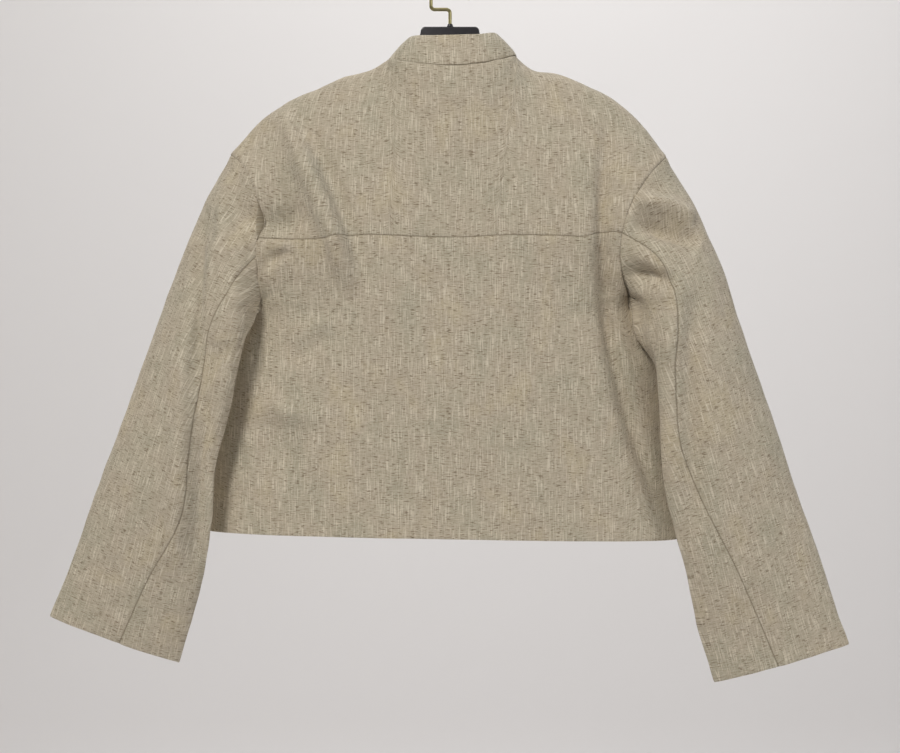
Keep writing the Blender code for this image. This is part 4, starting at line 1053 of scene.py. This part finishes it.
# %% Slubby linen
def linen(name, seed):
    """Woven linen, unfinished and matt. Yarns are about 0.6 mm apart, too fine to show, so its streaks are
    drawn as the groups of yarns that the eye sees: dark flecks 6.5 mm long and 1.1 mm high along the weft,
    cream slubs 26 mm long and 1.3 mm wide along the warp, and patches 50 to 70 mm across."""
    material, shader = new_material(name, {"Roughness": 0.95, "Specular IOR Level": 0.2,
                                           "Sheen Weight": 0.15, "Sheen Roughness": 0.6})
    grain_uv = add_node(material, "UVMap", uv_map="grain").outputs["UV"]

    def threads(across, along, detail=2.0, offset=0.0):
        """Noise with spots of this size in mm across and along the grain."""
        place = (seed * 3.7 + offset, seed * 1.9, 0.0)
        at = add_node(material, "Mapping", {"Vector": grain_uv, "Location": place,
                                            "Scale": (1 / across, 1 / along, 1.0)}).outputs[0]
        return add_node(material, "TexNoise", {"Vector": at, "Scale": 1.0, "Detail": detail,
                                               "Roughness": 0.6}, noise_dimensions="2D").outputs[0]

    def total(first, *others):
        """Sum of several values."""
        for other in others:
            first = add_node(material, "Math", {0: first, 1: other}, operation="ADD").outputs[0]
        return first

    def remap(value, low, high, at_low, at_high):
        """A value between low and high, laid linearly between two others."""
        return add_node(material, "MapRange", {"Value": value, "From Min": low, "From Max": high,
                                               "To Min": at_low, "To Max": at_high}).outputs[0]

    # Pale and dark thick yarns are the bright and the dash, and the mottle is the weave's own grain.
    weft, warp, mottle = threads(9.0, 1.0), threads(1.1, 11.0, 2.0, 73.0), threads(1.6, 1.6, 2.0, 5.0)
    slub, patchy = threads(1.3, 26.0, 1.0, 11.0), threads(50.0, 70.0, 2.0, 91.0)
    bright, dash = threads(12.0, 1.2, 1.0, 43.0), threads(17.0, 1.2, 1.0, 57.0)
    clusters = remap(threads(16.0, 11.0, 2.0, 19.0), 0.35, 0.65, -0.04, 0.04)
    fleck = total(threads(6.5, 1.1, 1.0, 31.0), clusters)
    cloth_colour = ramp(material, weft, ((0.2, "#8e826c"), (0.8, "#dcd3c0")))
    patches = ((0.28, "#a3a08c"), (0.42, "#b7af9a"), (0.58, "#b9ab98"), (0.72, "#c6b798"))
    for share, noise, stops in ((0.5, warp, ((0.2, "#968b76"), (0.8, "#ddd4c2"))), (0.4, patchy, patches)):
        cloth_colour = mix(material, share, cloth_colour, ramp(material, noise, stops))
    # Laid over where the noise passes the first number, and as much as the grey says past the second.
    for noise, start, full, most, code in ((mottle, 0.42, 0.80, "#909090", "#a3977f"),
                                           (bright, 0.58, 0.72, "#b0b0b0", "#dcd3c0"),
                                           (dash, 0.60, 0.74, "#a0a0a0", "#8f8069"),
                                           (slub, 0.57, 0.70, "#d0d0d0", "#e2d9c6"),
                                           (fleck, 0.61, 0.73, "#e0e0e0", "#74654f")):
        amount = ramp(material, noise, ((start, "#000000"), (full, most)))
        cloth_colour = mix(material, amount, cloth_colour, colour(code))
    # Painted shade: within 1.2 mm of a seam the cloth is mixed up to 0.6 of the way to dark brown #5f543f,
    # the shade that falls in the seam's groove.
    sewn = add_node(material, "Attribute", attribute_name="sewn").outputs["Fac"]
    cloth_colour = mix(material, remap(sewn, 0.1, 1.2, 0.6, 0.0), cloth_colour, colour("#5f543f"))
    dress(material, shader, cloth_colour, total(weft, warp, mottle, slub), 0.7, 0.0007)
    return material


for number, name in enumerate(cloth):
    pieces[name].data.materials.append(linen("slubby_linen_" + name, number))

# %% [markdown]
# Horn, thread, plastic and brass need less: each has one colour of its own, and a second one that shows
# where it grew, was moulded or has worn.

# %% Horn, thread, moulded plastic and brass
def speckled(name, dark, light, size, roughness, metallic=0.0, bump=0.1, coat=0.0):
    """A finish whose colour drifts between two shades over patches of this size in mm, with a fine bump."""
    material, shader = new_material(name, {"Roughness": roughness, "Metallic": metallic,
                                           "Coat Weight": coat})
    place = add_node(material, "TexCoord").outputs["Object"]
    patches, fine = (add_node(material, "TexNoise", {"Vector": place, "Scale": scale / size,
                                                     "Detail": detail}).outputs[0]
                     for scale, detail in ((1000.0, 4.0), (4000.0, 3.0)))
    dress(material, shader, ramp(material, patches, ((0.3, dark), (0.7, light))), fine, bump, 0.0001)
    return material


horn = speckled("polished_horn", "#4a3521", "#8a6b45", 5.0, 0.3, coat=0.3)
thread = speckled("linen_thread", "#a39986", "#c2b9a6", 1.0, 0.8, bump=0.5)
moulded = speckled("moulded_black_polystyrene", "#29282c", "#343237", 6.0, 0.32, bump=0.15)
brass = speckled("brass_plated_wire", "#a39a6e", "#b9b085", 9.0, 0.3, metallic=1.0, bump=0.15)

# %% [markdown]
# ## Bind the pieces to the frame
#
# Each new piece stands for the solid that it was made from and rides on the one body.
# Every piece that is not cloth gets its finish here.

# %% Riding and replacing
FINISHES = {"button": (horn, "button"), "thread": (thread, "cloth"), "buttonhole": (thread, "cloth"),
            "hanger": (moulded, "hanger"), "hook_boss": (moulded, "hanger"), "hook_wire": (brass, "hook")}
for name, piece in pieces.items():
    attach(piece, "root")
    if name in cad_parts:
        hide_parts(name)
    if name in cloth:
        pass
    else:
        finish, slot = FINISHES.get(name) or FINISHES[name.split("_")[0]]
        piece.data.materials.append(finish)

# %% [markdown]
# ## Floor, light and camera
#
# A garment is shot against a pale wall. Here a pale floor sweeps up far behind the jacket, so that it can
# be seen from every side, under a pale sky. One large soft lamp shines from high on the left of its back;
# three weaker ones fill the shadows on the right and at the front, and wash the wall.

# %% Studio
FLOOR_Z, FLOOR_NEAR, FLOOR_HALF = -2500.0, -45000.0, 40000.0
SWEEP, WALL_Y, WALL_TOP = 800.0, 3600.0, 3200.0


def add_stage():
    """Floor 2.5 m under the hook that turns up through a quarter circle of 0.8 m into a wall 3.6 m away."""
    turn, flat = arc(0.0, 90.0, 24)[1:], np.linspace(FLOOR_NEAR, WALL_Y - SWEEP, 12)
    y = np.concatenate([flat, WALL_Y - SWEEP + SWEEP * np.sin(turn), [WALL_Y, WALL_Y]])
    z = np.concatenate([0 * flat + FLOOR_Z, FLOOR_Z + SWEEP * (1 - np.cos(turn)), [900.0, WALL_TOP]])
    points = xyz(np.linspace(-FLOOR_HALF, FLOOR_HALF, 9)[None], y[:, None], z[:, None])
    return add_mesh("pale_sweep", points.reshape(-1, 3), grid_faces(len(y), 9).tolist(), smooth_to=80.0)


sweep = add_stage()
plaster, _ = new_material("pale_plaster", {"Base Color": colour("#e4e2e2"), "Roughness": 0.9})
sweep.data.materials.append(plaster)

world = bpy.data.worlds.new("pale_room")
world.use_nodes = True
sky = world.node_tree.nodes["Background"].inputs
sky["Color"].default_value, sky["Strength"].default_value = colour("#e9e8ea"), 0.2
bpy.context.scene.world = world


def add_lamp(name, place, target, size, watts, tint="#ffffff"):
    """A square lamp that looks at a target: its Z axis points from the target back to the lamp."""
    data = bpy.data.lights.new(name, "AREA")
    data.size, data.energy, data.color = size, watts, colour(tint)[:3]
    lamp = bpy.data.objects.new(name, data)
    back = unit(np.array(place, float) - target)
    right = unit(np.cross((0.0, 0.0, 1.0), back))
    columns = np.stack([right, np.cross(back, right), back, place], axis=1)
    lamp.matrix_world = Matrix([*columns.tolist(), (0.0, 0.0, 0.0, 1.0)])
    bpy.context.scene.collection.objects.link(lamp)


add_lamp("key", (-2.4, -4.9, 4.1), (0.0, 0.0, -0.4), 1.8, 318.0, "#fffbf4")
add_lamp("side_fill", (3.4, -2.2, 0.8), (0.0, 0.0, -0.4), 1.8, 40.0)
add_lamp("front_fill", (-1.2, 2.4, 1.1), (0.0, 0.0, -0.4), 1.6, 34.0)
add_lamp("wall_wash", (0.4, 1.4, 2.4), (0.4, 3.6, -0.6), 2.5, 50.0)

camera_data = bpy.data.cameras.new("camera")
camera_data.lens, camera_data.sensor_width = 54.9, 36.0
camera = bpy.data.objects.new("camera", camera_data)
camera.location = (0.0, -1.5, -0.4384)
camera.rotation_euler = (math.radians(90.0), 0.0, 0.0)
bpy.context.scene.collection.objects.link(camera)
bpy.context.scene.camera = camera
bpy.context.scene.view_settings.view_transform = "Standard"
